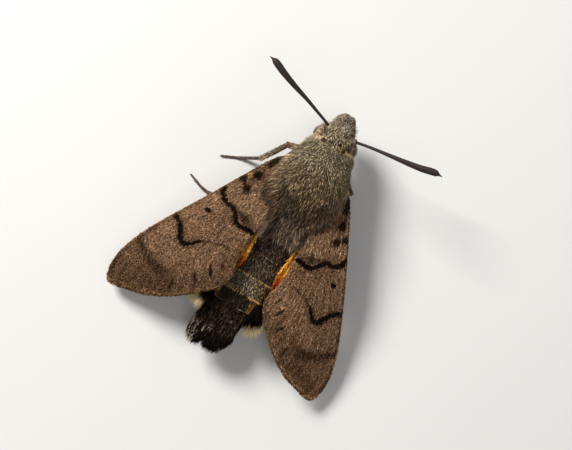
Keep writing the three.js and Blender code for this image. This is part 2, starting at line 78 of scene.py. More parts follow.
BOW, BOW_FROM, BOW_TO = 0.6, 8.0, 18.0
FIRST_RING = 7.15
SEGMENT_ENDS = (8.65, 10.6, 12.95, 14.85, 16.3)

# How far the skin lies under the tips of the coat, along the body
COAT_DEPTH = np.array([
    [-5.35, 0.3],
    [-4.3, 0.26],
    [-3.0, 0.24],
    [-1.0, 0.4],
    [3.0, 0.5],
    [7.0, 0.42],
    [9.0, 0.28],
    [16.6, 0.28],
])

# Wings, seen from above: leading edge, outer edge and inner edge
FORE = {
    "leading": [(2.9, 0.4), (4.2, 1.35), (4.98, 2.5), (6.4, 5.0), (8.6, 9.0), (10.85, 13.1),
                (11.85, 15.2), (12.58, 17.4), (12.78, 19.3), (12.58, 20.3)],
    "outer": [(12.58, 20.3), (11.98, 20.76), (10.2, 20.4), (8.1, 19.7), (6.03, 18.46),
              (4.0, 16.75), (2.75, 15.5), (2.3, 14.8)],
    "inner": [(1.5, 4.6), (2.1, 6.6), (2.45, 9.0), (2.62, 10.8), (2.5, 12.2), (2.2, 13.5),
              (2.14, 14.2), (2.3, 14.8)],
    # each vein's share from the leading to the inner edge, and where it starts on the way out
    "veins": [(0.03, 0), (0.12, 0), (0.21, 0.42), (0.31, 0.46), (0.42, 0.48), (0.52, 0),
              (0.63, 0.36), (0.74, 0.28), (0.9, 0)],
}
HIND = {
    "leading": [(2.6, 2.6), (4.4, 4.6), (6.6, 7.6), (8.6, 10.6), (9.7, 12.6)],
    "outer": [(9.7, 12.6), (9.9, 13.6), (8.6, 14.3), (6.4, 14.5), (4.4, 14.1), (2.6, 13.1),
              (2.05, 12.7)],
    "inner": [(1.5, 5.2), (2.0, 8.2), (1.95, 9.8), (1.78, 11.2), (1.85, 12.1), (2.05, 12.7)],
    "veins": [(0.06, 0), (0.26, 0), (0.43, 0.4), (0.6, 0), (0.78, 0)],
}
ROOF_AT = (2.3, 14.4, 6.45)
ROOF_SLOPE = (-0.43, -0.098)
ROOF_CROWN = 0.35
ROOF_REACH = 9.0
ROOT_DIP, ROOT_FROM, ROOT_TO = 1.4, 0.5, 9.5
FORE_THICK = 0.52
HIND_DROP = 0.97
HIND_THICK = 0.46

SIDES = (("left", 1.0), ("right", -1.0))
UP = np.array([0.0, 0.0, 1.0])


# Numbers, points and noise

def smooth(rows, t):
    """A smooth row of numbers at each t, from rows of [t, numbers] in rising order."""
    rows = np.asarray(rows, float)
    at, values = rows[:, 0], rows[:, 1:]
    slope = np.empty_like(values)
    slope[1:-1] = (values[2:] - values[:-2]) / (at[2:] - at[:-2])[:, None]
    slope[0] = (values[1] - values[0]) / (at[1] - at[0])
    slope[-1] = (values[-1] - values[-2]) / (at[-1] - at[-2])
    t = np.atleast_1d(np.asarray(t, float))
    i = np.clip(np.searchsorted(at, t, "right") - 1, 0, len(at) - 2)
    span = (at[i + 1] - at[i])[:, None]
    u = np.clip((t - at[i])[:, None] / span, 0, 1)
    return ((2 * u**3 - 3 * u**2 + 1) * values[i] + (u**3 - 2 * u**2 + u) * slope[i] * span
            + (3 * u**2 - 2 * u**3) * values[i + 1] + (u**3 - u**2) * slope[i + 1] * span)


def step(a, b, t):
    """0 below a, 1 above b and a soft rise between them."""
    t = np.clip((t - a) / (b - a), 0, 1)
    return t * t * (3 - 2 * t)


def unit(v):
    return v / np.maximum(np.linalg.norm(v, axis=-1, keepdims=True), 1e-9)


def ripple(points, wavelength, seed, waves=14):
    """Smooth cloudy noise, about -1 to 1, with lumps of about the wavelength."""
    rng = np.random.default_rng(seed)
    ways = unit(rng.normal(size=(waves, 3))) * (2 * math.pi / wavelength)
    ways *= rng.uniform(0.6, 1.7, (waves, 1))
    return np.sin(points @ ways.T + rng.uniform(0, 2 * math.pi, waves)).mean(1) * 2.4


def clipped(rng, count):
    """Normal draws, none further than two from zero."""
    return np.clip(rng.normal(size=count), -2, 2)


def tone(*rgb):
    """A colour given as the eye sees it, 0 to 255, as linear light."""
    c = np.array(rgb, float) / 255
    return np.where(c <= 0.04045, c / 12.92, ((c + 0.055) / 1.055) ** 2.4)


def blend(base, over, share):
    """Lays a colour over others by a share for each point."""
    return base + (over - base) * np.asarray(share)[:, None]


def hump(gap, width):
    """1 where the gap is nothing, falling off softly over the width."""
    return np.exp(-((gap / width) ** 2))


def vary(rng, count, spread, low=0.0, high=100.0, shift=0.0):
    """A column of factors round one: how light each tuft is."""
    return np.clip(np.exp(spread * rng.normal(size=count) + shift), low, high)[:, None]


def shaded_root_to_tip(tint, low, high):
    """A tuft's colours at its root and at its tip. The darker root is painted shade deep in the coat."""
    return tint * low, np.clip(tint * high, 0, 1)


def join(*values):
    """Points or directions from their coordinates, each a number or an array."""
    return np.stack(np.broadcast_arrays(*values), -1)


def across(way, face):
    return unit(np.cross(way, face))


def circle(count):
    return np.arange(count) / count * 2 * math.pi


def mirrored(turn, sign):
    """An angle round the body, carried over to the right side where the sign is negative."""
    return turn if sign > 0 else math.pi - turn


# Meshes

def make(name, points, faces, bake, tint, material, slot, *nodes, shade=True):
    """A mesh piece from arrays: points in mm, faces of three corners, a bake map for each point
    or each corner, and a tint for each point or for all. It stands for the nodes named."""
    count, corners = faces.shape
    mesh = bpy.data.meshes.new(name)
    mesh.vertices.add(len(points))
    mesh.vertices.foreach_set("co", (points * MM + SHIFT).astype(np.float32).ravel())
    mesh.loops.add(count * corners)
    mesh.loops.foreach_set("vertex_index", faces.astype(np.int32).ravel())
    mesh.polygons.add(count)
    mesh.polygons.foreach_set("loop_start", np.arange(0, count * corners, corners, dtype=np.int32))
    mesh.update(calc_edges=True)
    colours = np.ones((len(points), 4), np.float32)
    colours[:, :3] = np.clip(tint, 0, 1)
    layer = mesh.color_attributes.new("tint", "FLOAT_COLOR", "POINT")
    layer.data.foreach_set("color", colours.ravel())
    by_corner = bake if bake.ndim == 3 else bake[faces]
    layer = mesh.uv_layers.new(name="OFBake")
    layer.data.foreach_set("uv", by_corner.astype(np.float32).ravel())
    if shade:
        mesh.shade_smooth()
    mesh.materials.append(material)
    piece = bpy.data.objects.new(name, mesh)
    bpy.context.scene.collection.objects.link(piece)
    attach(piece, "root")
    if nodes:
        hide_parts(*nodes)


def grid(rows, columns, closed):
    """Triangles over a grid of points, and their corners' places on it."""
    wide = columns if closed else columns - 1
    r, c = [a.ravel() for a in np.indices((rows - 1, wide))]
    d = (c + 1) % columns
    quads = join(r * columns + c, r * columns + d, (r + 1) * columns + d, (r + 1) * columns + c)
    places = np.stack([join(c, r), join(c + 1, r), join(c + 1, r + 1), join(c, r + 1)], 1)
    places = places / [wide, rows - 1]
    return [np.concatenate([a[:, [0, 1, 2]], a[:, [0, 2, 3]]]) for a in (quads, places)]


CAP_EDGE = 0.002


def tube(rings, flip=True):
    """A closed skin over rings, with a map that unrolls it."""
    rows, columns, _ = rings.shape
    points = np.concatenate([rings.reshape(-1, 3), rings[:1].mean(1), rings[-1:].mean(1)])
    last = len(points) - 1
    base = (rows - 1) * columns
    c = np.arange(columns)
    d = (c + 1) % columns
    a, b = c / columns, (c + 1) / columns
    faces, bake = grid(rows, columns, True)
    faces = np.concatenate([faces, join(last - 1, d, c), join(last, base + c, base + d)])
    low = [join((a + b) / 2, 0.0), join(b, CAP_EDGE), join(a, CAP_EDGE)]
    high = [join((a + b) / 2, 1.0), join(a, 1 - CAP_EDGE), join(b, 1 - CAP_EDGE)]
    bake = np.concatenate([bake, np.stack(low, 1), np.stack(high, 1)])
    order = -1 if flip else 1
    return points, faces[:, ::order], bake[:, ::order]


PATCH = 0.0015


def strands(root, way, bend, side, width, tints, bake, keep=None, stations=(0.0, 0.5), flat=0.3,
            wide=(0.8, 1.0), turn=1.0):
    """Thin closed three-sided tufts. Each runs from its root along way, moved by bend as it goes,
    and ends in a point. tints are the colours at root and tip, and a turn over 1 keeps the root's
    for longer. Where keep is given, only the tufts that it marks are made."""
    bend = np.broadcast_to(bend, way.shape)
    if keep is not None:
        root, way, bend, side, width, bake = [a[keep] for a in (root, way, bend, side, width, bake)]
        tints = [a[keep] for a in tints]
    count, rings = len(root), len(stations)
    per = rings * 3 + 1
    t = np.array([*stations, 1.0])
    line = root[:, None] + way[:, None] * t[None, :, None] + bend[:, None] * (t**2)[None, :, None]
    lift = across(way, side)
    points, colours = np.empty((2, count, per, 3))
    maps = np.empty((count, per, 2))
    for k in range(rings):
        reach = (width * wide[k] / 2)[:, None]
        at = line[:, k]
        points[:, 3 * k] = at - side * reach
        points[:, 3 * k + 1] = at + side * reach
        points[:, 3 * k + 2] = at + lift * reach * 2 * flat
        late = t[k] ** turn
        colours[:, 3 * k:3 * k + 3] = (tints[0] * (1 - late) + tints[1] * late)[:, None]
        for j, sideways in enumerate((-1.0, 1.0, 0.1)):
            maps[:, 3 * k + j] = bake + np.array([sideways * (1 - t[k] / 2), t[k] * 2 - 1]) * PATCH
    points[:, -1] = line[:, -1]
    colours[:, -1] = tints[1]
    maps[:, -1] = bake + np.array([0, PATCH])
    faces = [[0, 2, 1]]
    for a in range(0, 3 * rings - 3, 3):
        for i, j in ((0, 1), (1, 2), (2, 0)):
            faces += [[a + i, a + j, a + j + 3], [a + i, a + j + 3, a + i + 3]]
    a = 3 * (rings - 1)
    faces += [[a, a + 1, per - 1], [a + 1, a + 2, per - 1], [a + 2, a, per - 1]]
    every = (np.array(faces)[None] + (np.arange(count) * per)[:, None, None]).reshape(-1, 3)
    return points.reshape(-1, 3), every, maps.reshape(-1, 2), colours.reshape(-1, 3)


def gather(parts):
    """Joins several sets of strands into one."""
    points, faces, bakes, tints = zip(*parts)
    starts = np.cumsum([0] + [len(p) for p in points[:-1]])
    faces = [f + start for f, start in zip(faces, starts)]
    return [np.concatenate(x) for x in (points, faces, bakes, tints)]


# Materials

def new_material(name):
    material = bpy.data.materials.new(name)
    material.use_nodes = True
    return material, material.node_tree, material.node_tree.nodes["Principled BSDF"]


def set_inputs(node, **values):
    """Sets a node's own sockets, whose names have blanks where the words here have underscores."""
    for name, value in values.items():
        node.inputs[name.replace("_", " ")].default_value = value


def add_node(tree, kind, **values):
    node = tree.nodes.new("ShaderNode" + kind)
    set_inputs(node, **values)
    return node


def link(tree, source, output, target, socket):
    tree.links.new(source.outputs[output], target.inputs[socket])


def tint_node(tree):
    node = add_node(tree, "Attribute")
    node.attribute_name = "tint"
    return node


def coat_material(name, roughness, grain, mottle, bump=0.0, gloss=0.12, sheen=0.0):
    """A matt scaly or furry finish: the tint, mottled by fine noise, with a fine bump where one is
    given. Grain and bump are in mm."""
    material, tree, shader = new_material(name)
    set_inputs(shader, Roughness=roughness, Specular_IOR_Level=gloss, Sheen_Weight=sheen,
               Sheen_Roughness=0.45, Sheen_Tint=(0.9, 0.86, 0.78, 1))
    place = add_node(tree, "TexCoord")
    noise = add_node(tree, "TexNoise", Scale=1 / (grain * MM), Detail=3.0)
    ramp = add_node(tree, "MapRange", From_Min=0.3, From_Max=0.7, To_Min=1 - mottle,
                    To_Max=1 + mottle)
    mix = add_node(tree, "Mix")
    mix.data_type = "RGBA"
    mix.blend_type = "MULTIPLY"
    set_inputs(mix, Factor=1.0)
    link(tree, place, "Object", noise, "Vector")
    link(tree, noise, "Fac", ramp, "Value")
    link(tree, tint_node(tree), "Color", mix, "A")
    link(tree, ramp, "Result", mix, "B")
    link(tree, mix, "Result", shader, "Base Color")
    if bump:
        bumper = add_node(tree, "Bump", Strength=0.6, Distance=bump * MM)
        link(tree, noise, "Fac", bumper, "Height")
        link(tree, bumper, "Normal", shader, "Normal")
    return material


def eye_material():
    """Black-brown, glossy and finely faceted."""
    material, tree, shader = new_material("eye_facets")
    set_inputs(shader, Roughness=0.3, Specular_IOR_Level=0.35, Coat_Weight=0.35,
               Coat_Roughness=0.08)
    place = add_node(tree, "TexCoord")
    facets = add_node(tree, "TexVoronoi", Scale=1 / (0.045 * MM), Randomness=0.25)
    bumper = add_node(tree, "Bump", Strength=0.5, Distance=0.012 * MM)
    bumper.invert = True
    link(tree, place, "Object", facets, "Vector")
    link(tree, facets, "Distance", bumper, "Height")
    link(tree, bumper, "Normal", shader, "Normal")
    link(tree, tint_node(tree), "Color", shader, "Base Color")
    return material


FUR = coat_material("fur", 0.8, 0.18, 0.2, sheen=0.03)
SKIN = coat_material("skin", 0.9, 0.12, 0.35, 0.05)
TUFT = coat_material("tuft_hair", 0.8, 0.18, 0.2, gloss=0.05)
SCALES = coat_material("wing_scales", 0.85, 0.16, 0.2, gloss=0.04)
WING = coat_material("wing_skin", 0.9, 0.1, 0.3, 0.03, 0.04)
HORN = coat_material("horn", 0.45, 0.08, 0.2, 0.015)
EYE = eye_material()


# Body: the skin, and where a point of the coat's outer form lies

def bow_at(y):
    return BOW * step(BOW_FROM, BOW_TO, y)


def ring_step(y):
    """The abdomen's rings rise a little towards each rear edge."""
    rise = np.zeros_like(y)
    start = FIRST_RING
    for end in SEGMENT_ENDS:
        inside = (y >= start) & (y <= end)
        rise = np.where(inside, 0.1 * ((y - start) / (end - start)) - 0.04, rise)
        start = end
    return rise


def body_at(y, turn, sink):
    """The body's surface at y, at an angle round it, sunk under the coat's outer form."""
    half, top, bottom = smooth(BODY, y).T
    nose = np.sqrt(np.clip(1 - ((NOSE_Y + 0.5 - y) / 0.55).clip(0, 1) ** 2, 0.0004, 1))
    tail = np.sqrt(np.clip(1 - ((y - BODY_END + 0.35) / 0.6).clip(0, 1) ** 2, 0.0004, 1))
    shrink = nose * tail
    rise = ring_step(y) - sink
    c, s = np.cos(turn), np.sin(turn)
    x = np.sign(c) * np.abs(c) ** (2 / OVAL) * (half + rise) * shrink
    z = np.sign(s) * np.abs(s) ** (2 / OVAL) * ((top - bottom) / 2 + rise) * shrink
    return join(bow_at(y) + x, y, (top + bottom) / 2 + z)


def body_frame(y, turn, sink):
    """Surface point, outward normal and the way the coat lies, rearward."""
    e = 0.02
    at = body_at(y, turn, sink)
    back = unit(body_at(y + e, turn, sink) - body_at(y - e, turn, sink))
    round_it = unit(body_at(y, turn + e, sink) - body_at(y, turn - e, sink))
    return at, unit(np.cross(back, round_it)), back


def coat_depth(y):
    return smooth(COAT_DEPTH, y)[:, 0]


THORAX_GREY = tone(147, 133, 107)
THORAX_BROWN = tone(128, 108, 83)
THORAX_DARK = tone(88, 70, 52)
WAIST_GREY = tone(120, 102, 84)
HEAD_GREY = tone(150, 134, 111)
SNOUT_GREY = tone(162, 150, 137)
BELLY_PALE = tone(196, 184, 162)
BELLY_BUFF = tone(150, 122, 90)
ABDOMEN_DARK = tone(73, 58, 47)
ABDOMEN_MID = tone(94, 80, 64)
ABDOMEN_GREY = tone(127, 113, 92)
RING_BLACK = tone(50, 40, 28)
BLACK = tone(16, 11, 8)
GOLD = tone(166, 112, 56)
FLANK_GOLD = tone(196, 140, 78)
COLLAR_GOLD = tone(196, 160, 108)
CREAM = tone(222, 198, 158)
FRINGE_GOLD = tone(236, 182, 116)
FRINGE_FAINT = tone(150, 132, 110)
ARC_WHITE = tone(214, 208, 196)
ROOT_WARM = tone(134, 106, 78)
RIM_GOLD = tone(190, 150, 92)
RIM_CREAM = tone(220, 208, 184)
RIM_RED = tone(176, 112, 64)
RIM_PALE = tone(226, 206, 172)

FRINGES = (
    # y, how strong, strokes, length, width, height over the skin, rearward bow, colour
    (8.65, 0.6, 34, 0.2, 0.05, 0.02, 0.0, FRINGE_FAINT),
    (10.6, 0.6, 34, 0.2, 0.05, 0.02, 0.0, FRINGE_FAINT),
    (12.95, 0.95, 33, 0.24, 0.045, 0.03, 0.0, FRINGE_GOLD),
    (14.85, 0.95, 30, 0.34, 0.045, 0.03, 0.0, FRINGE_GOLD),
    (16.2, 0.5, 80, 0.13, 0.036, 0.24, 0.25, ARC_WHITE),
)


COLLAR_MARKS = (
    # x, y, half width, half length, share, colour
    (-1.2, -2.6, 0.8, 0.5, 0.6, COLLAR_GOLD),
    (2.2, -2.8, 0.8, 0.2, 0.8, CREAM),
    (-0.35, -2.82, 0.3, 0.18, 0.9, BLACK),
    (-1.45, -2.95, 0.32, 0.18, 0.9, BLACK),
    (-1.05, -2.45, 0.18, 0.3, 0.85, BLACK),
    (-1.9, -2.6, 0.22, 0.32, 0.85, BLACK),
    (0.75, -2.7, 0.28, 0.12, 0.7, BLACK),
    (1.5, -2.57, 0.36, 0.15, 0.9, BLACK),
)

BODY_BANDS = (
    # colour, y from and to over which it comes in, how far clouds shift that
    (THORAX_GREY, -2.9, -2.1, 0.0),
    (THORAX_BROWN, -0.6, 2.2, 0.5),
    (THORAX_DARK, 2.4, 5.2, 0.6),
    (WAIST_GREY, 5.8, 7.0, 0.4),
    (ABDOMEN_DARK, 8.3, 8.9, 0.15),
    (ABDOMEN_MID, 10.6, 11.5, 0.0),
    (ABDOMEN_GREY, 12.9, 13.1, 0.0),
    (RING_BLACK, 14.86, 14.98, 0.0),
)


def body_tint(points, normals):
    """The coat's colours along the body, from the snout to the tail."""
    x, y = points[:, 0], points[:, 1]
    off = np.abs(x - bow_at(y))
    above = normals[:, 2]
    cloud = ripple(points, 1.6, 21)
    base = blend(HEAD_GREY, SNOUT_GREY, 1 - step(-5.1, -4.3, y))
    # Painted shade: the front of the head is darker on its right side, away from the key light.
    base = base * (1 - 0.35 * step(-0.1, 0.6, -x) * (1 - step(-4.2, -3.4, y)))[:, None]
    for colour, y_from, y_to, shift in BODY_BANDS:
        base = blend(base, colour, step(y_from, y_to, y + shift * cloud))
    corner = hump(off - 3.1, 0.9) * hump(y - 4.6, 1.3)
    base = blend(base, BLACK, 0.55 * corner * (above > -0.2))
    collar = hump(y + 2.62, 0.2) * (0.25 + 0.7 * ripple(points, 0.6, 22))
    base = blend(base, BLACK, 0.6 * np.clip(collar, 0, 1) * (1 - step(1.6, 2.0, off)))
    rim = hump(y + 2.95 - 0.3 * off, 0.16) * step(1.5, 1.9, off)
    base = blend(base, CREAM, 0.8 * rim * (above > -0.1))
    flank = step(1.5, 2.1, off) * step(15.0, 15.5, y) * (above > -0.3)
    base = blend(base, FLANK_GOLD, 0.9 * flank * np.clip(0.8 + 0.6 * ripple(points, 0.5, 23), 0, 1))
    for px, py, half_x, half_y, share, colour in COLLAR_MARKS:
        mark = 1 - step(0.6, 1.25, np.hypot((x - px) / half_x, (y - py) / half_y))
        base = blend(base, colour, share * mark * (above > 0.0))
    golden = step(1.6, 2.3, off) * step(13.0, 13.3, y) * (1 - step(14.5, 14.9, y))
    base = blend(base, GOLD, 0.45 * golden * (above > 0.0))
    under = step(0.05, 0.6, -above) * (1 - 0.6 * step(13.0, 15.0, y))
    return blend(base, np.where((y < 1.5)[:, None], BELLY_PALE, BELLY_BUFF), 0.85 * under)


def make_skin():
    rows, columns = 150, 72
    y = NOSE_Y - 0.04 + (BODY_END + 0.24 - NOSE_Y) * np.linspace(0, 1, rows)
    y, turn = [a.ravel() for a in np.meshgrid(y, circle(columns), indexing="ij")]
    at, normal, _ = body_frame(y, turn, coat_depth(y))
    points, faces, bake = tube(at.reshape(rows, columns, 3))
    normal = np.concatenate([normal, [[0, -1, 0]], [[0, 1, 0]]])
    make("body_skin", points, faces, bake, body_tint(points, normal) * 0.55, SKIN, "grey_fur",
         "head", "thorax", "abdomen")


EYE_AT = np.array([1.56, -2.92, 5.1])
EYE_RADIUS = 0.96
EYE_TALL = 1.08


def eye_clear(points, tips):
    """True where neither end of a tuft lies in an eye."""
    keep = np.ones(len(points), bool)
    for _, sign in SIDES:
        for ends in (points, tips, (points + tips) / 2):
            away = (ends - EYE_AT * [sign, 1, 1]) / [1, 1, EYE_TALL]
            keep &= np.linalg.norm(away, axis=1) > EYE_RADIUS
    return keep


def fur_roots(y_from, y_to, pitch, seed):
    """Even, jittered roots over the body between two places: y and angle."""
    rng = np.random.default_rng(seed)
    ys, turns = [], []
    y = y_from
    while y < y_to:
        half, top, bottom = smooth(BODY, y)[0]
        girth = math.pi * (half + (top - bottom) / 2)
        count = max(int(girth / pitch), 6)
        turns.append((np.arange(count) + rng.uniform(0, 1, count)) / count * 2 * math.pi)
        ys.append(y + rng.uniform(-0.7, 0.7, count) * pitch)
        y += pitch
    return np.clip(np.concatenate(ys), NOSE_Y + 0.01, y_to), np.concatenate(turns), rng


def body_place(y, turn):
    """Where a root lies on the body's bake map."""
    return join(np.mod(turn / (2 * math.pi), 1), (y - NOSE_Y) / (BODY_END + 0.2 - NOSE_Y))


PARTING = -3.6
BODY_COATS = (
    # name, y from and to, pitch, length with what is added over a stretch of y, width, swirl,
    # spread of lightness, slot, seed
    ("head_coat", NOSE_Y, -2.3, 0.078, (0.28, 0.14, -4.9, -4.0), 0.075, 0.32, 0.75, "grey_fur", 1),
    ("thorax_coat_front", -2.35, 2.6, 0.096, (0.5, 0.1, -1, 2), 0.073, 0.12, 0.64, "grey_fur", 2),
    ("thorax_coat_rear", 2.5, 7.3, 0.108, (0.62, 0.34, 3, 6), 0.09, 0.22, 0.7, "grey_fur", 5),
    ("abdomen_coat", 7.2, 16.3, 0.106, (0.7, -0.3, 7.5, 9.5), 0.082, 0.14, 0.8, "dark_fur", 3),
)


def body_coat(name, y_from, y_to, pitch, lengths, width, swirl, spread, slot, seed):
    """A stretch of the body's coat: tufts that overlap and lie rearward, or forward before the
    parting."""
    seed += SEED
    y, turn, rng = fur_roots(y_from, y_to, pitch, seed)
    count = len(y)
    depth = coat_depth(y)
    at, normal, back = body_frame(y, turn, depth)
    side = across(back, normal)
    lean = swirl * (0.5 * rng.normal(size=count) + ripple(at, 1.6, seed + 5))
    if y_from < PARTING:
        forward = 1 - step(PARTING - 0.35, PARTING + 0.35, y)
        back = unit(back * (1 - 2 * forward)[:, None] + side * 0.001)
    lie = unit(back + side * lean[:, None])
    base, more, more_from, more_to = lengths
    long = (base + more * step(more_from, more_to, y)) * rng.uniform(0.7, 1.3, count)
    reach = np.minimum(depth / long, 0.6) * rng.uniform(0.75, 1.25, count)
    way = (lie * np.sqrt(1 - reach**2)[:, None] + normal * (reach * 1.5)[:, None]) * long[:, None]
    bend = -normal * (reach * 0.5 * long)[:, None]
    root = at - normal * 0.04
    clump = ripple(at, 0.3, seed + 6)
    light = vary(rng, count, spread, 0.2, 2.9, 0.7 * spread * clump)
    dark = (rng.uniform(size=count) < 0.22)[:, None]
    tint = body_tint(at + normal * depth[:, None] + way * 0.5, normal) * np.where(dark, 0.3, light)
    parts = strands(root, way, bend, across(lie, normal), width * rng.uniform(0.7, 1.3, count),
                    shaded_root_to_tip(tint, 0.45, 1.3), body_place(y, turn),
                    eye_clear(root, root + way + bend))
    make(name, *parts, FUR, slot)


def make_coat():
    for row in BODY_COATS:
        body_coat(*row)
    make_fringes()
    make_wing_root_fur()
    make_bristles()
    make_collar()
    make_brows()
    make_feeler_tufts()


def make_fringes():
    """Rows of pale scales along the rear edges of the abdomen's rings and at the tail's base."""
    rng = np.random.default_rng(SEED + 7)
    parts = []
    for y0, strong, strokes, length, width, lift, bulge, colour in FRINGES:
        count = strokes * 6
        spot = rng.integers(0, strokes, count) + 0.5 + 0.11 * rng.normal(size=count)
        turn = (0.1 + 0.8 * spot / strokes) * math.pi
        y = y0 - rng.uniform(0.0, 0.1, count) + bulge * np.sin(turn) ** 3
        at, normal, back = body_frame(y, turn, coat_depth(y) * 0.1)
        keep = (ripple(at, 0.9, 71) > 0.6 - 1.5 * strong) & (rng.uniform(size=count) < strong)
        side = across(back, normal)
        back = unit(back + side * (0.12 * rng.normal(size=count))[:, None])
        way = back * (length * rng.uniform(0.7, 1.3, count))[:, None]
        tint = colour * vary(rng, count, 0.3)
        parts.append(strands(at + normal * (lift - 0.07), way, -normal * 0.03, side,
                             width * rng.uniform(0.7, 1.4, count), shaded_root_to_tip(tint, 0.6, 1.1),
                             body_place(y, turn), keep))
    make("ring_fringes", *gather(parts), FUR, "dark_fur")


SHOULDER_EDGE = {
    # how far back the hair reaches at each distance from the middle: distance, y
    "left": [(1.6, 9.5), (2.2, 9.1), (2.45, 7.6), (2.6, 6.3), (2.9, 5.8), (4.1, 5.4), (4.5, 4.2)],
    "right": [(1.6, 8.9), (2.1, 8.5), (2.35, 7.4), (2.6, 6.3), (3.2, 5.6), (4.0, 4.0), (4.3, 3.0)],
}


def make_wing_root_fur():
    """Long hair on the shoulders that lies out and back over the wings' roots."""
    count = 6200
    for name, sign in SIDES:
        rng = np.random.default_rng(SEED + 8)
        y = rng.uniform(0.2, 8.2, count)
        late = step(5.2, 6.6, y)
        turn = mirrored((rng.uniform(0.06, 0.3, count) + 0.12 * late) * math.pi, sign)
        at, normal, _ = body_frame(y, turn, coat_depth(y) * 0.7)
        out = 0.72 + 0.2 * rng.normal(size=count) + 0.2 * ripple(at, 1.2, 77)
        out = out * (1 - late) + (0.36 + 0.2 * rng.normal(size=count)) * late
        long = (0.85 + 0.45 * step(1.0, 4.0, y)) * rng.uniform(0.6, 1.25, count)
        tip = at + unit(join(sign * out, 1, 0)) * long[:, None]
        off = np.abs(tip[:, 0])
        over = roof(off, tip[:, 1]) + FORE_THICK / 2 + rng.uniform(0.02, 0.34, count)
        on_wing = step(1.4, 1.9, off)
        tip[:, 2] = np.minimum(over, at[:, 2] + 0.1) * (1 - on_wing) + over * on_wing
        arch = UP * (0.25 * long)[:, None]
        way = tip - at + arch
        tint = body_tint(at, normal)
        warm = blend(tint, ROOT_WARM, 0.4 * rng.uniform(size=count) * (1 - late))
        light = vary(rng, count, 0.68, 0.2, 2.8, 0.4 * ripple(at, 0.3, 78))
        # Rearward shoulder hair is darker: partly the thorax's darker rear, partly painted shade that
        # offsets the strong light on the raised hair.
        light = light * (1 - 0.4 * step(0.8, 3.8, y))[:, None]
        edge = np.array(SHOULDER_EDGE[name])
        reach = np.interp(off, edge[:, 0], edge[:, 1], right=0.0)
        keep = tip[:, 1] < reach - 0.1 + 0.4 * clipped(rng, count)
        # Darker roots: painted shade deep in the coat.
        parts = strands(at - normal * 0.05, way, -arch, across(way, UP),
                        0.08 * rng.uniform(0.7, 1.3, count),
                        (tint * light * 0.5, np.clip(warm * light * 1.15, 0, 1)),
                        body_place(y, turn), keep, (0.0, 0.35, 0.75), 0.35, (0.8, 1.0, 0.75))
        make(f"shoulder_fur_{name}", *parts, FUR, "grey_fur")


def make_bristles():
    """Single hairs that stand out at the sides and front of the head."""
    rng = np.random.default_rng(SEED + 20)
    count = 900
    y = rng.uniform(NOSE_Y + 0.1, -3.9, count)
    turn = rng.uniform(-0.05, 0.4, count) * math.pi
    turn = np.where(rng.uniform(size=count) < 0.72, turn, math.pi - turn)
    at, normal, back = body_frame(y, turn, coat_depth(y))
    way = unit(normal * 0.9 - back * 0.9 + 0.3 * rng.normal(size=(count, 3)))
    way *= (rng.uniform(0.3, 0.55, count) + 0.25 * (rng.uniform(size=count) < 0.2))[:, None]
    tint = HEAD_GREY * vary(rng, count, 0.7, 0.15, 1.5, -0.3)
    parts = strands(at, way, back * 0.12, across(way, normal), np.full(count, 0.055),
                    shaded_root_to_tip(tint, 0.6, 1), body_place(y, turn), eye_clear(at, at + way))
    make("head_bristles", *parts, FUR, "grey_fur")


def make_collar():
    """A ruff of pale-edged scales behind each eye."""
    count = 900
    parts = []
    for _, sign in SIDES:
        rng = np.random.default_rng(SEED + 24)
        y = rng.uniform(-2.4, -1.6, count)
        turn = mirrored(rng.uniform(0.0, 0.26, count) * math.pi, sign)
        at, normal, back = body_frame(y, turn, coat_depth(y) * 0.8)
        way = unit(normal * 0.7 - back * 0.15 + 0.36 * rng.normal(size=(count, 3)))
        way *= rng.uniform(0.3, 0.58, count)[:, None]
        tint = blend(THORAX_GREY, CREAM, 0.8 * (1 - step(-2.3, -2.1, y)))
        tint = tint * vary(rng, count, 0.6, 0.25, 1.8)
        parts.append(strands(at, way, back * 0.2, across(way, back),
                             0.07 * rng.uniform(0.7, 1.3, count), shaded_root_to_tip(tint, 0.5, 1.1),
                             body_place(y, turn)))
    make("collar", *gather(parts), FUR, "grey_fur")


BROW_REACH = {"left": 0.85, "right": 0.45}


def make_brows():
    """Scales round the eyes: brown over the top and cream along the lower rear rim."""
    rng = np.random.default_rng(SEED + 9)
    count = 2200
    parts = []
    for name, sign in SIDES:
        turn = rng.uniform(0, 2 * math.pi, count)
        high = np.sin(turn)
        over = step(0.2, 0.9, high)
        ring = EYE_RADIUS * rng.uniform(0.86, 1.12, count)
        spoke = join(0, np.cos(turn), high * EYE_TALL)
        at = EYE_AT * [sign, 1, 1] + spoke * ring[:, None]
        at[:, 0] = sign * (EYE_AT[0] - 0.2 + 0.14 * rng.uniform(size=count))
        out = unit(join(sign, 0.35 * rng.normal(size=count), 0) + spoke * 0.5)
        way = out * (0.27 + BROW_REACH[name] * over * rng.uniform(0.4, 1.1, count))[:, None]
        tint = blend(RIM_GOLD, HEAD_GREY, over)
        tint = blend(tint, RIM_CREAM, step(0.1, 0.7, -high) * 0.8)
        tint = tint * vary(rng, count, 0.35, 0.4, 1.8)
        pick = rng.uniform(size=count)
        tips = blend(tint, RIM_RED, 0.6 * over * (pick < 0.25))
        tips = blend(tips, RIM_PALE, 0.8 * over * (pick > 0.82))
        tips = blend(tips, BLACK, 0.85 * over * (np.abs(pick - 0.6) < 0.15))
        # Darker roots: painted shade deep among the scales.
        parts.append(strands(at, way, -spoke * (0.26 * over)[:, None], across(way, spoke),
                             0.07 * rng.uniform(0.7, 1.3, count),
                             (tint * 0.6, np.clip(tips * 1.1, 0, 1)),
                             body_place(at[:, 1], mirrored(high * 1.2, sign))))
    make("eye_rims", *gather(parts), FUR, "grey_fur")


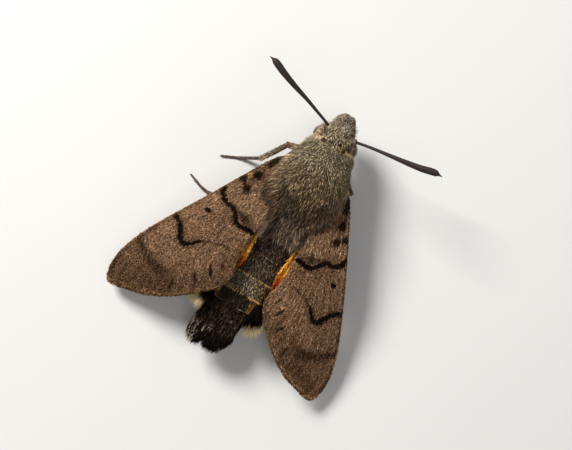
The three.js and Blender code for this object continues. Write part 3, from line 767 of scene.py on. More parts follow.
def make_feeler_tufts():
    """The scales that wrap each feeler's first joint."""
    rng = np.random.default_rng(SEED + 25)
    count = 420
    parts = []
    for name, sign in SIDES:
        flip = np.array([sign, 1, 1])
        axis = unit((np.array(FEELER_LINES[name][0]) - FEELER_ROOT) * flip)
        round_it = across(axis, rng.normal(size=(2, count, 3))[1])
        at = FEELER_ROOT * flip + axis * rng.uniform(-0.3, 0.25, count)[:, None] + round_it * 0.16
        way = unit(axis * 0.9 + round_it * 0.45 + 0.2 * rng.normal(size=(count, 3)))
        way *= rng.uniform(0.25, 0.42, count)[:, None]
        tint = HEAD_GREY * vary(rng, count, 0.5, 0.3, 1.7)
        parts.append(strands(at, way, -round_it * 0.06, across(way, round_it),
                             0.07 * rng.uniform(0.7, 1.3, count), shaded_root_to_tip(tint, 0.5, 1.15),
                             body_place(at[:, 1], (0.5 - 0.25 * sign) * math.pi)))
    make("feeler_tufts", *gather(parts), FUR, "grey_fur")


# Tail tuft and side tufts: long hair scales

TAIL_FROM = 16.1
TAIL_END = 22.15
TAIL_BLACK = tone(20, 14, 9)
TAIL_BROWN = tone(72, 54, 38)
TAIL_FLECK = tone(206, 190, 168)
LONG_HAIR = ((0.0, 0.35, 0.75), 0.35, (0.8, 1.0, 0.8))


def make_tail():
    """The tail tuft: fine black hair in a fan with a notch, with pale flecks near its left end."""
    for name, face, count in (("upper", 1.0, 8400), ("lower", -1.0, 3700)):
        rng = np.random.default_rng(SEED + 4)
        share = rng.uniform(-1, 1, count)
        share = np.sign(share) * np.abs(share) ** 0.85
        deep = face * rng.uniform(-0.1, 1, count) * np.sqrt(1 - 0.55 * share**2)
        y = TAIL_FROM + rng.beta(1.0, 1.3, count) * 4.3
        late = (y - TAIL_FROM) / (TAIL_END - TAIL_FROM)
        root = join(bow_at(y) + 0.1 * late + share * (2.12 + 0.12 * late), y,
                    3.75 - 0.35 * late + deep * (0.98 - 0.45 * late))
        ragged = 0.5 * rng.uniform(0, 1, count) ** 2.2 + 0.08 * clipped(rng, count)
        notch = 0.75 * hump(share - 0.12, 0.125)
        corner = np.where(share > 0, 1.2 * np.abs(share) ** 4, 1.9 * np.abs(share) ** 3)
        end = TAIL_END - corner - notch - ragged - 1.5 * np.abs(deep) ** 1.5
        long = np.clip(end - y, 0.5, rng.uniform(1.1, 3.2, count))
        drift = (0.11 * clipped(rng, count) + 0.12 * ripple(root, 0.9, 81)) * (1 - 0.8 * share**6)
        tip = join(root[:, 0] + (drift + 0.02 * share) * long, y + long,
                   3.5 + deep * 0.55 + 0.16 * clipped(rng, count))
        bulge = join(share * 0.18, 0, deep * 0.35)
        way = tip - root + bulge
        tint = TAIL_BLACK * vary(rng, count, 0.5, shift=0.4 * ripple(root, 0.4, 82))
        pick = rng.uniform(size=count)
        tint = np.where((pick > 0.96 + 0.04 * late)[:, None], TAIL_BROWN, tint)
        fleck = step(0.3, 0.75, share) * step(3.4, 4.6, y + long - TAIL_FROM)
        tips = np.where((pick < 0.04 * fleck)[:, None], TAIL_FLECK, tint * 1.25)
        bake = join(0.25 + share * 0.22 + (0.0 if face > 0 else 0.5), late * 0.9 + 0.05)
        # Darker roots: painted shade deep in the tuft.
        parts = strands(root, way, -bulge, across(way, join(share * 0.5, 0, face)),
                        0.07 * rng.uniform(0.7, 1.4, count), (tint * 0.6, tips), bake, None,
                        *LONG_HAIR, 1.6)
        make(f"tail_coat_{name}", *parts, TUFT, "tail_fur")
    make_tail_flecks()
    make_tail_core()


TAIL_FLECKS = (
    # count, from and to across the tuft, from and to along it, colour
    (520, -0.95, 0.95, 0.04, 0.66, TAIL_BROWN),
    (90, 0.55, 0.98, 0.6, 0.97, TAIL_FLECK),
    (20, 0.05, 0.45, 0.5, 0.7, TAIL_FLECK),
    (10, -0.9, -0.3, 0.3, 0.9, TAIL_FLECK),
)


def make_tail_flecks():
    """Short brown and pale hair that lies on the black tuft."""
    rng = np.random.default_rng(SEED + 22)
    parts = []
    for count, share_a, share_b, late_a, late_b, colour in TAIL_FLECKS:
        share = rng.uniform(share_a, share_b, count)
        late = np.clip(rng.uniform(late_a, late_b, count) - 0.12 * np.abs(share) ** 3, 0.01, 1)
        y = TAIL_FROM + late * (TAIL_END - TAIL_FROM)
        deep = np.sqrt(1 - 0.55 * share**2)
        root = join(bow_at(y) + 0.1 * late + share * 2.2, y,
                    3.84 - 0.35 * late + deep * (0.98 - 0.5 * late**1.4))
        long = rng.uniform(0.15, 0.4, count)[:, None]
        drift = 0.12 * clipped(rng, count) + 0.1 * ripple(root, 0.9, 83)
        way = join(drift, 1, -0.1 - 0.16 * late) * long
        tint = colour * np.exp(0.45 * clipped(rng, count))[:, None]
        parts.append(strands(root, way, 0.0, across(way, join(share * 0.6, 0, deep)),
                             0.045 * rng.uniform(0.7, 1.3, count), shaded_root_to_tip(tint, 0.5, 1),
                             join(0.25 + share * 0.22, late * 0.9 + 0.05)))
    make("tail_flecks", *gather(parts), FUR, "tail_fur")


def make_tail_core():
    """The dark core under the tail tuft's hair."""
    rows, columns = 16, 40
    t = np.linspace(0, 1, rows)[:, None]
    y = np.linspace(16.35, 19.6, rows)[:, None]
    turn = circle(columns)
    close = np.sqrt(np.clip(1 - t**4, 0.001, 1))
    rings = join(bow_at(y) + np.cos(turn) * (1.95 * close), y,
                 3.75 - 0.3 * t + np.sin(turn) * (0.85 * close * (1 - 0.3 * t)))
    make("tail_skin", *tube(rings), TAIL_BLACK * 0.6, SKIN, "tail_fur", "tail_tuft")


TUFT_BROWN = tone(214, 148, 82)
TUFT_PALE = tone(255, 230, 184)
SIDE_TUFTS = (
    # y, height over the body's middle, length, slope, least and most that it stands out, count,
    # colours
    (12.0, 0.0, 1.9, -0.08, 0.4, 0.7, 350, BLACK, GOLD),
    (13.8, 0.0, 2.3, -0.08, 0.45, 0.75, 350, BLACK, BLACK),
    (15.5, 0.7, 2.15, 0.08, -0.1, 1.5, 1750, BLACK, BLACK),
    (15.4, 0.25, 2.95, 0.02, 0.15, 0.95, 2300, TUFT_BROWN, TUFT_PALE),
)


def make_side_tufts():
    """Long tufts along the abdomen's sides, the rearmost cream."""
    rng = np.random.default_rng(SEED + 6)
    parts = []
    for y0, lift, length, slope, out_a, out_b, count, first, last in SIDE_TUFTS:
        for _, sign in SIDES:
            y = y0 + rng.uniform(-0.45, 0.45, count)
            half, top, bottom = smooth(BODY, y).T
            high = rng.uniform(-1, 1, count)
            root = join(bow_at(y) + sign * (half - 0.5 - 0.25 * high**2), y,
                        (top + bottom) / 2 + lift + 0.5 * high)
            way = unit(join(sign * rng.uniform(out_a, out_b, count), 1, 0.2 * high + slope))
            way *= (length * rng.uniform(0.6, 1.08, count))[:, None]
            light = vary(rng, count, 0.3)
            parts.append(strands(root, way, [-sign * 0.12, 0.1, -0.1],
                                 across(way, [-sign, 0.7, 0.4]),
                                 0.095 * rng.uniform(0.7, 1.4, count),
                                 (first * light, np.clip(last * light, 0, 1)),
                                 join(0.25 + sign * 0.2 + 0.02 * high, y / 20), None,
                                 (0.0, 0.35, 0.7), 0.35, (0.8, 1.0, 0.85), 0.8))
    make("side_tufts", *gather(parts), TUFT, "dark_fur")


# Wings

def measured(line):
    """A line's points, and the share of its length at each."""
    run = np.concatenate([[0], np.cumsum(np.linalg.norm(np.diff(line, axis=0), axis=1))])
    return line, run / run[-1]


def route(corners):
    """A smooth line through corners, as points evenly spaced along it."""
    p = np.array(corners, float)
    p = np.concatenate([[2 * p[0] - p[1]], p, [2 * p[-1] - p[-2]]])
    line = []
    for a, b, c, d in zip(p, p[1:], p[2:], p[3:]):
        t0, t1, t2 = [np.linalg.norm(v) ** 0.5 for v in (b - a, c - b, d - c)]
        m1 = t1 * ((b - a) / t0 - (c - a) / (t0 + t1) + (c - b) / t1)
        m2 = t1 * ((c - b) / t1 - (d - b) / (t1 + t2) + (d - c) / t2)
        u = np.linspace(0, 1, 30, endpoint=False)[:, None]
        line.append((2 * u**3 - 3 * u**2 + 1) * b + (u**3 - 2 * u**2 + u) * m1
                    + (3 * u**2 - 2 * u**3) * c + (u**3 - u**2) * m2)
    return measured(np.concatenate(line + [p[-2:-1]]))


def along(path, t):
    line, run = path
    return np.stack([np.interp(t, run, line[:, k]) for k in range(line.shape[1])], -1)


def wing_plan(wing):
    """The wing seen from above: s runs from root to outer edge, t from leading to inner edge."""
    lead, outer, inner = [route(wing[k]) for k in ("leading", "outer", "inner")]
    root_a, root_b = along(lead, [0])[0], along(inner, [0])[0]
    tip, heel = along(lead, [1])[0], along(inner, [1])[0]

    def at(s, t):
        s1, t1 = s[:, None], t[:, None]
        chord = along(lead, s) * (1 - t1) + along(inner, s) * t1
        way = (root_a * (1 - t1) + root_b * t1) * (1 - s1) + along(outer, t) * s1
        corners = (root_a * (1 - s1) * (1 - t1) + root_b * (1 - s1) * t1
                   + tip * s1 * (1 - t1) + heel * s1 * t1)
        return chord + way - corners
    return at


def roof(x, y):
    out = np.clip((x - ROOF_AT[0]) / ROOF_REACH, 0, 1)
    plane = ROOF_AT[2] + ROOF_SLOPE[0] * (x - ROOF_AT[0]) + ROOF_SLOPE[1] * (y - ROOF_AT[1])
    return plane + ROOF_CROWN * np.sin(out * math.pi) - ROOT_DIP * (1 - step(ROOT_FROM, ROOT_TO, y))


VEIN_HIGH = 0.07
VEIN_WIDE = 0.018


def vein_height(wing, s, t):
    """Veins stand out as low ridges over the membrane."""
    high = np.zeros_like(s)
    for place, start in wing["veins"]:
        fade = step(start - 0.02, start + 0.06, s) if start else 1
        high = np.maximum(high, fade * hump(t - place, VEIN_WIDE))
    return VEIN_HIGH * high * (1 - step(0.93, 1.0, s))


def wing_surface(wing, sign, drop, pleat=0.0):
    """The wing's top face, dropped under the roof, as a place for each s and t of its plan."""
    plan = wing_plan(wing)

    def at(s, t):
        x, y = plan(s, t).T
        z = roof(x, y) - drop + vein_height(wing, s, t) + pleat * np.sin(t * 60)
        return join(x * sign, y, z)
    return at


def line_gap(xy, corners):
    """Distance of each point to a line through corners, and the share along it."""
    line, run = route(corners)
    best = np.full(len(xy), 1e9)
    share = np.zeros(len(xy))
    for a, b, ra in zip(line[:-1], line[1:], run):
        ab = b - a
        u = np.clip(((xy - a) @ ab) / (ab @ ab + 1e-12), 0, 1)
        gap = np.linalg.norm(xy - (a + u[:, None] * ab), axis=1)
        near = gap < best
        best[near] = gap[near]
        share[near] = ra
    return best, share


FORE_BROWN = tone(143, 110, 83)
FORE_LIGHT = tone(162, 124, 94)
FORE_DARK = tone(78, 55, 38)
FORE_WARM = tone(170, 134, 102)
FORE_RED = tone(150, 66, 36)
FORE_TAN = tone(164, 126, 84)
LINE_BLACK = tone(13, 8, 6)
INNER_LINE = [(7.35, 6.7), (6.9, 7.4), (6.2, 7.85), (5.5, 7.95), (4.95, 8.45), (4.45, 9.05),
              (3.9, 9.2), (3.3, 9.1), (2.4, 9.15)]
OUTER_LINE = [(9.95, 11.6), (9.2, 11.95), (8.6, 12.7), (8.2, 13.4), (7.7, 13.6), (7.1, 13.25),
              (6.5, 12.6), (5.8, 12.2), (4.8, 11.8), (3.7, 11.65)]
SPOT = (7.4, 9.5)
SHADE_LINE = [(11.6, 15.6), (10.6, 16.4), (9.4, 16.9), (8.3, 17.2)]
WING_PATCHES = (
    # x, y, half length, half width, lean in degrees, share, dark or pale
    (5.7, 4.4, 0.55, 0.4, 60, 0.8, "pale"),
    (4.25, 2.0, 0.95, 0.38, 69, 0.9, "dark"),
    (4.92, 3.95, 0.62, 0.52, 60, 0.95, "dark"),
    (6.0, 4.95, 0.52, 0.4, 60, 0.95, "dark"),
    (5.25, 5.6, 0.58, 0.46, 120, 0.95, "dark"),
    (3.85, 8.3, 0.6, 0.4, 0, 0.75, "dark"),
    (4.7, 8.1, 0.45, 0.25, 30, 0.6, "dark"),
    (5.05, 15.9, 0.62, 0.16, 121, 0.9, "dark"),
    (4.1, 14.5, 0.65, 0.18, 121, 0.9, "dark"),
    (3.3, 13.6, 0.4, 0.14, 121, 0.6, "dark"),
    (6.7, 17.7, 0.5, 0.12, 110, 0.6, "dark"),
    (8.6, 18.6, 0.5, 0.12, 105, 0.6, "dark"),
    (11.0, 13.9, 0.7, 0.25, 60, 0.5, "dark"),
)


def fore_tint(at, s, t):
    """The fore wing's markings: two black cross-lines, a black spot and clouded browns."""
    x, y = np.abs(at[:, 0]), at[:, 1]
    xy = join(x, y)
    cloud = ripple(at, 2.4, 31)
    grain = ripple(at, 0.45, 32)
    gap_in, run_in = line_gap(xy, INNER_LINE)
    gap_out, run_out = line_gap(xy, OUTER_LINE)
    gap_shade, _ = line_gap(xy, SHADE_LINE)
    inner = step(0.4, 0.75, t)
    base = blend(FORE_BROWN, FORE_WARM, 0.7 * (1 - step(7.5, 9.0, y)) * step(4.5, 6.5, y))
    base = blend(base, FORE_LIGHT, 0.85 * inner * step(8.8, 9.6, y) * (1 - step(14.5, 16.5, y)))
    base = blend(base, FORE_DARK, (0.72 - 0.34 * inner) * step(0.74, 0.95, s + 0.03 * cloud))
    shade = hump(gap_shade, 0.55) * (0.95 + 0.5 * grain)
    base = blend(base, FORE_DARK * 0.3, 0.95 * np.clip(shade, 0, 1))
    base = blend(base, FORE_DARK, np.clip(0.12 + 0.2 * cloud + 0.14 * grain, 0, 0.6))
    for place, _ in FORE["veins"]:
        streak = hump(t - place, 0.007) * (0.12 + 0.5 * step(0.8, 0.93, s))
        base = blend(base, FORE_DARK * 0.4, streak)
    for px, py, long, wide, lean, share, kind in WING_PATCHES:
        c, n = math.cos(math.radians(lean)), math.sin(math.radians(lean))
        gap = np.hypot(((x - px) * c + (y - py) * n) / long, ((y - py) * c - (x - px) * n) / wide)
        inside = 1 - step(0.55, 1.35, gap * (1 + 0.35 * grain))
        base = blend(base, LINE_BLACK if kind == "dark" else FORE_TAN, share * inside)
    red = hump(x - 4.1 - 0.2 * (y - 3.0), 0.16) * hump(y - 3.1, 0.7)
    base = blend(base, FORE_RED, 0.8 * red)
    base = blend(base, FORE_DARK, 0.35 * hump(gap_in - 0.35, 0.3) * (s < 0.45))
    base = blend(base, FORE_DARK, 0.4 * hump(gap_out - 0.3, 0.25) * (run_out < 0.6))
    ragged = 1 + 0.4 * ripple(at, 0.35, 33)
    wide_in = (0.26 + 0.14 * (1 - step(0.0, 0.2, run_in))) * ragged
    base = blend(base, LINE_BLACK, 0.98 * (1 - step(0.7, 1.2, gap_in / wide_in)))
    wide_out = 0.19 + 0.14 * (1 - step(0.0, 0.14, run_out)) + 0.15 * hump(run_out - 0.3, 0.14)
    faint = step(0.6, 0.72, run_out)
    wide_out = wide_out * ragged * (1 - 0.25 * faint)
    base = blend(base, LINE_BLACK, (0.98 - 0.4 * faint) * (1 - step(0.7, 1.2, gap_out / wide_out)))
    spot = np.hypot((x - SPOT[0]) / 0.36, (y - SPOT[1]) / 0.27)
    base = blend(base, LINE_BLACK, 0.98 * (1 - step(0.8, 1.15, spot)))
    base = blend(base, FORE_DARK, 0.6 * (1 - step(0.01, 0.045, t)))
    base = blend(base, FORE_TAN, 0.7 * (1 - step(0.004, 0.012, t)) * step(0.3, 0.4, s))
    return blend(base, FORE_TAN, 0.5 * step(0.975, 0.995, s))


ORANGE = tone(255, 180, 74)
ORANGE_RED = tone(222, 90, 36)
HIND_BROWN = tone(112, 66, 38)
UNDER_ORANGE = tone(186, 118, 62)
UNDER_BROWN = tone(120, 84, 56)
UNDER_GREY = tone(150, 124, 96)


def hind_tint(at, s, t):
    """The hind wing: orange, redder towards its inner end, with a brown outer rim."""
    y = at[:, 1]
    base = blend(ORANGE, ORANGE_RED, 0.85 * step(10.9, 12.0, y + 0.3 * ripple(at, 0.8, 41)))
    base = blend(base, ORANGE_RED, 0.35 * (0.5 + 0.5 * np.sin(t * 150)) * step(0.8, 0.9, t))
    base = blend(base, HIND_BROWN * 0.4, 0.7 * hump(t - 0.955, 0.008) * step(10.5, 12, y))
    base = blend(base, HIND_BROWN, step(0.78, 0.93, s) * (1 - 0.6 * step(0.85, 0.95, t)))
    return blend(base, HIND_BROWN, 0.7 * (1 - step(0.0, 0.15, t)))


def under_tint(_, s, t):
    """The wings' undersides: warm orange-brown, browner outwards."""
    base = blend(UNDER_ORANGE, UNDER_BROWN, step(0.55, 0.95, s))
    base = blend(base, UNDER_GREY, 0.6 * (1 - step(0.1, 0.4, s)))
    return blend(base, FORE_BROWN, 0.8 * (1 - step(0.005, 0.03, t)))


SCALE_GAP = 0.05
HIND_LIFT = 0.45
WING_SKIN_THICK = 0.3
EDGE_THIN = 0.35
WING_LENGTH = 21.0
RIM_STRIP = (0.985, 0.998)
FORE_SCALE_DROP = -FORE_THICK / 2 + SCALE_GAP
HIND_SCALE_DROP = HIND_DROP - HIND_THICK / 2 + SCALE_GAP - HIND_LIFT
WINGS = {
    # plan, drop under the roof, pleat, rows and columns of the skin, colours above
    "forewing": (FORE, FORE_SCALE_DROP, 0.0, (90, 150), fore_tint),
    "hindwing": (HIND, HIND_SCALE_DROP, 0.03, (60, 90), hind_tint),
}
WHOLE = (0.0, 1.0, 0.0, 1.0)
UNDERSIDE = (0.0, 1.0, 0.015, 0.99)
SCALE_COATS = (
    # wing, name, face, size, pitch, seed, how speckled, region from root to outer edge and from
    # leading to inner edge, rise, line to keep clear of
    ("forewing", "scales", 1, (0.22, 0.12), (0.104, 0.091), 10, 0.48, WHOLE, 0.05, None),
    ("forewing", "base_hair", 1, (0.55, 0.055), (0.17, 0.1), 11, 0.45, (0.02, 0.46, 0.08, 1.0),
     0.12, INNER_LINE),
    ("forewing", "under_scales", -1, (0.4, 0.26), (0.22, 0.2), 12, 0.3, UNDERSIDE, 0.05, None),
    ("hindwing", "scales", 1, (0.5, 0.1), (0.3, 0.06), 14, 0.14, (0.0, 1.0, 0.6, 1.0), 0.03, None),
    ("hindwing", "under_scales", -1, (0.4, 0.26), (0.25, 0.21), 16, 0.3, UNDERSIDE, 0.05, None),
)


def make_wing(kind, side, sign):
    """The wing's closed membrane, triangulated alike above and below."""
    wing, drop, pleat, (rows, columns), tint_of = WINGS[kind]
    shares = np.meshgrid(np.linspace(0, 1, rows), np.linspace(0, 1, columns), indexing="ij")
    s, t = [a.ravel() for a in shares]
    top = wing_surface(wing, sign, drop, pleat)(s, t)
    under = top - UP * WING_SKIN_THICK
    edge = (s == 1) | (t == 0) | (t == 1) | (s == 0)
    top[edge, 2] -= WING_SKIN_THICK * EDGE_THIN
    under[edge, 2] += WING_SKIN_THICK * EDGE_THIN
    faces, maps = grid(rows, columns, False)
    maps = maps * 0.48
    off = len(top)
    i = np.arange(off).reshape(rows, columns)
    rim = np.concatenate([i[0, :-1], i[:-1, -1], i[-1, :0:-1], i[:0:-1, 0]])
    after = np.roll(rim, -1)
    walls = [join(after, rim, rim + off), join(after, rim + off, after + off)]
    a = np.linspace(0, 1, len(rim), endpoint=False)
    b = a + 1 / len(rim)
    low, high = RIM_STRIP
    wall_maps = [np.stack([join(b, high), join(a, high), join(a, low)], 1),
                 np.stack([join(b, high), join(a, low), join(b, low)], 1)]
    faces = np.concatenate([faces, faces[:, ::-1] + off, *walls])
    bake = np.concatenate([maps, maps[:, ::-1] + [0.5, 0], *wall_maps])
    order = -1 if sign > 0 else 1
    tint = np.concatenate([tint_of(top, s, t), under_tint(under, s, t)])
    make(f"{kind}_{side}", np.concatenate([top, under]), faces[:, ::order], bake[:, ::order],
         tint * 0.8, WING, f"{kind}_scales", f"{kind}_{side}")


def line_at(x, corners):
    """How far back a line across the wing lies at each x."""
    rows = np.array(corners)[::-1]
    return np.interp(x, rows[:, 0], rows[:, 1])


def wing_scales(side, sign, kind, name, face, size, pitch, seed, speckle, region, rise, clear_of):
    """Flat overlapping scales over one face of a wing, each pointing outwards. Long ones can be
    kept clear of a dark line."""
    wing, drop, pleat, _, tint_of = WINGS[kind]
    if face < 0:
        drop, pleat, tint_of = drop + WING_SKIN_THICK, 0.0, under_tint
    seed += SEED
    rng = np.random.default_rng(seed)
    plan = wing_plan(wing)
    surface = wing_surface(wing, sign, drop, pleat)
    s0, s1, t0, t1 = region
    rows = int(WING_LENGTH * (s1 - s0) / pitch[0])
    s_all, t_all = [], []
    for k in range(rows):
        s = s0 + (s1 - s0) * (k + 0.5) / rows
        ends = plan(np.array([s, s]), np.array([t0, t1]))
        count = max(int(np.linalg.norm(ends[1] - ends[0]) / pitch[1]), 3)
        t_all.append(t0 + (t1 - t0) * (np.arange(count) + rng.uniform(0, 1, count)) / count)
        s_all.append(s + rng.uniform(-0.5, 0.5, count) * pitch[0] / WING_LENGTH)
    s = np.clip(np.concatenate(s_all), 0.001, 0.995)
    t = np.clip(np.concatenate(t_all), 0.002, 0.998)
    count = len(s)
    e = 0.004
    at = surface(s, t)
    out = unit(surface(s + e, t) - surface(s - e, t))
    inward = unit(surface(s, t + e) - surface(s, t - e))
    normal = across(out, inward)
    normal *= np.sign(normal[:, 2:3]) * face
    out = unit(out + inward * (0.2 * rng.normal(size=count))[:, None])
    way = out * (size[0] * rng.uniform(0.8, 1.25, count))[:, None] + normal * rise
    tint = tint_of(at + way * 0.45, s, t)
    grain = 0.7 * ripple(join(s * 45, t * 160, 0), 6.5, seed + 3) + ripple(at, 0.3, seed + 4)
    light = np.exp(speckle * (clipped(rng, count) + grain))[:, None]
    pick = rng.uniform(size=count)[:, None]
    tint = tint * np.clip(light, 0.3, 2.0)
    tint = np.where(pick < 0.2, tint * 0.3, tint)
    bright = tint * [0.97, 1.0, 1.07] * (1 + 1.1 * speckle)
    tint = np.clip(np.where(pick > 0.85, bright, tint), 0, 0.9)
    keep = None
    if clear_of:
        tip = (at + way)[:, :2] * [sign, 1]
        keep = (line_gap(tip, clear_of)[0] > 0.33) & (tip[:, 1] < line_at(tip[:, 0], clear_of))
    parts = strands(at - normal * 0.01, way, -normal * rise * 0.6, across(out, normal),
                    size[1] * rng.uniform(0.8, 1.2, count), (tint * 0.8, tint * 1.1),
                    join(t, s) * 0.94 + 0.03, keep, (0.0, 0.62), 0.12, (0.55, 1.0))
    make(f"{kind}_{name}_{side}", *parts, SCALES, f"{kind}_scales", shade=False)


EDGE_TAN = tone(160, 118, 74)
EDGE_BROWN = tone(74, 52, 38)


def wing_fringe(side, sign):
    """Hair scales along the fore wing's outer and inner edges."""
    rng = np.random.default_rng(SEED + 18)
    surface = wing_surface(FORE, sign, FORE_SCALE_DROP)
    e = 0.02
    parts = []
    for count, long, rear in ((1500, 0.42, 0.0), (900, 0.3, 1.2)):
        s, t, s_in, t_in = np.ones((4, count))
        k = rng.uniform(0.02, 1.0, count)
        if rear:
            s = s_in = k
            t_in = t - e
        else:
            t = t_in = k
            s_in = s - e
        at = surface(s, t)
        out = unit(at - surface(s_in, t_in))
        out = unit(out + [0, rear, 0] + 0.25 * rng.normal(size=(count, 3)) * [1, 1, 0.4])
        root = at - out * 0.1 - UP * rng.uniform(0.02, 0.2, count)[:, None]
        way = out * (long * rng.uniform(0.6, 1.2, count))[:, None]
        pick = rng.uniform(size=count)[:, None]
        tint = np.where(pick < 0.45, EDGE_TAN, EDGE_BROWN) * vary(rng, count, 0.2)
        parts.append(strands(root, way, 0.0, across(way, UP), 0.1 * rng.uniform(0.7, 1.3, count),
                             (tint * 0.8, tint), join(t, s) * 0.94 + 0.03, None, (0.0, 0.6), 0.25,
                             (0.8, 1.0)))
    make(f"forewing_fringe_{side}", *gather(parts), SCALES, "forewing_scales")


def make_wings():
    for side, sign in SIDES:
        for kind in WINGS:
            make_wing(kind, side, sign)
        for row in SCALE_COATS:
            wing_scales(side, sign, *row)
        wing_fringe(side, sign)


# Eyes, feelers, palps, proboscis

EYE_BLACK = tone(24, 15, 11)
EYE_GLOW = tone(74, 40, 22)


def make_eyes():
    """Two balls, a little lighter high up where light falls into them."""
    lift = np.linspace(-math.pi / 2 + 0.02, math.pi / 2 - 0.02, 24)[:, None]
    turn = circle(40)
    ball = join(np.cos(lift) * np.cos(turn), np.cos(lift) * np.sin(turn), np.sin(lift) * EYE_TALL)
    for side, sign in SIDES:
        centre = EYE_AT * [sign, 1, 1]
        points, faces, bake = tube(centre + (EYE_RADIUS - 0.02) * ball, flip=False)
        glow = hump((points - centre)[:, 2] / EYE_RADIUS - 0.5, 0.25)
        make(f"eye_ball_{side}", points, faces, bake, blend(EYE_BLACK, EYE_GLOW, 0.6 * glow), EYE,
             "eye", f"eye_{side}")


FEELER_ROOT = (1.2, -3.8, 6.4)
FEELER_LINES = {
    "left": [(3.05, -4.35, 6.95), (4.9, -4.9, 7.5), (6.8, -5.4, 8.0), (8.35, -5.9, 8.3),
             (9.5, -6.35, 8.45), (10.25, -6.5, 8.5)],
    "right": [(2.9, -4.15, 6.95), (4.6, -4.4, 7.5), (6.4, -4.65, 8.0), (8.2, -4.95, 8.3),
              (9.6, -5.3, 8.45), (10.5, -5.35, 8.5)],
}
FEELER_WIDTH = [
    [0, 0.2],
    [0.04, 0.14],
    [0.35, 0.17],
    [0.7, 0.29],
    [0.86, 0.34],
    [0.93, 0.3],
    [0.965, 0.12],
    [1, 0.03],
]
FEELER_DARK = tone(34, 26, 25)
FEELER_RING = tone(92, 80, 78)


def ringed(centre, radius, columns, side=None, wide=1.0):
    """A tube round a line of points. side is square to the line, and level unless it is given."""
    way = unit(np.gradient(centre, axis=0))
    side = across(way, UP) if side is None else np.broadcast_to(side, way.shape)
    face = np.cross(side, way)
    turn = circle(columns)[None, :, None]
    radius = radius[:, None, None]
    return tube(centre[:, None] + side[:, None] * (np.cos(turn) * radius * wide)
                + face[:, None] * (np.sin(turn) * radius))


def swept(path, radii, rows, columns, ribs=0, rib_high=0.0):
    """A tube along a line, with ribs round it where they are asked for."""
    t = np.linspace(0, 1, rows)
    radius = smooth(radii, t)[:, 0]
    if ribs:
        radius = radius * (1 + rib_high * np.abs(np.sin(t * ribs * math.pi)))
    return ringed(along(path, t), radius, columns)


def make_feelers():
    ribs, columns = 66, 14
    rows = ribs * 6 + 1
    ring = np.abs(np.sin(np.repeat(np.linspace(0, 1, rows), columns) * ribs * math.pi))
    tint = blend(FEELER_DARK, FEELER_RING, (1 - ring) ** 3 * 0.6)
    tint = np.concatenate([tint, tint[:1], tint[-1:]])
    for side, sign in SIDES:
        path = route(np.array([FEELER_ROOT] + FEELER_LINES[side]) * [sign, 1, 1])
        make(f"antenna_rings_{side}", *swept(path, FEELER_WIDTH, rows, columns, ribs, 0.1), tint,
             HORN, "feeler", f"antenna_{side}")


PALP_LINE = [(0.75, -3.3, 3.7), (0.78, -4.3, 3.4), (0.66, -5.0, 3.8), (0.44, -5.4, 4.45),
             (0.26, -5.6, 5.1), (0.2, -5.56, 5.6)]
PALP_WIDTH = [
    [0, 0.3],
    [0.3, 0.46],
    [0.55, 0.5],
    [0.78, 0.4],
    [0.93, 0.26],
    [1, 0.1],
]
PALP_PALE = tone(214, 204, 186)


def surface_coat(points, normals, lies, tints, bakes, length, width, rise, rng):
    """Short tufts on given roots, lying along lies."""
    count = len(points)
    side = across(lies, normals)
    lie = unit(lies + side * (0.3 * rng.normal(size=count))[:, None])
    way = lie * (length * rng.uniform(0.7, 1.3, count))[:, None] + normals * rise
    tints = tints * vary(rng, count, 0.45)
    # Darker roots: painted shade deep in the coat.
    return strands(points - normals * 0.03, way, -normals * rise * 0.5, across(lie, normals),
                   width * rng.uniform(0.7, 1.3, count), (tints * 0.6, tints * 1.15), bakes)


def tube_roots(path, radii, pitch, rng):
    """Even roots over a tube: points, normals, the way along it, a bake place and the share."""
    length = np.linalg.norm(np.diff(path[0], axis=0), axis=1).sum()
    rows = max(int(length / pitch), 2)
    per = max(int(2 * math.pi * max(r[1] for r in radii) / pitch), 5)
    t = (np.arange(rows) + 0.5) / rows
    t = np.clip(np.repeat(t, per) + rng.uniform(-0.5, 0.5, rows * per) / rows, 0, 1)
    turn = rng.uniform(0, 2 * math.pi, rows * per)
    e = 0.01
    way = unit(along(path, np.clip(t + e, 0, 1)) - along(path, np.clip(t - e, 0, 1)))
    side = across(way, UP)
    spoke = side * np.cos(turn)[:, None] + np.cross(side, way) * np.sin(turn)[:, None]
    point = along(path, t) + smooth(radii, t)[:, :1] * spoke
    return point, unit(spoke), way, join(turn / (2 * math.pi), t * 0.98 + 0.01), t


def palp_tint(points):
    return blend(PALP_PALE, SNOUT_GREY, step(3.6, 4.4, points[:, 2]))


def make_palps():
    rng = np.random.default_rng(SEED + 30)
    for side, sign in SIDES:
        path = route(np.array(PALP_LINE) * [sign, 1, 1])
        points, faces, bake = swept(path, PALP_WIDTH, 24, 18)
        make(f"palp_skin_{side}", points, faces, bake, palp_tint(points) * 0.6, SKIN, "palp_fur",
             f"palp_{side}")
        root, normal, way, place, _ = tube_roots(path, PALP_WIDTH, 0.08, rng)
        parts = surface_coat(root, normal, way, palp_tint(root), place, 0.36, 0.085, 0.1, rng)
        make(f"palp_coat_{side}", *parts, FUR, "palp_fur")


COIL_AT = (-4.3, 3.1)
COIL_TURNS = 3.4
COIL_STEM = [[0, -3.4, 4.2], [0, -3.42, 3.9]]
COIL_BROWN = tone(58, 38, 26)


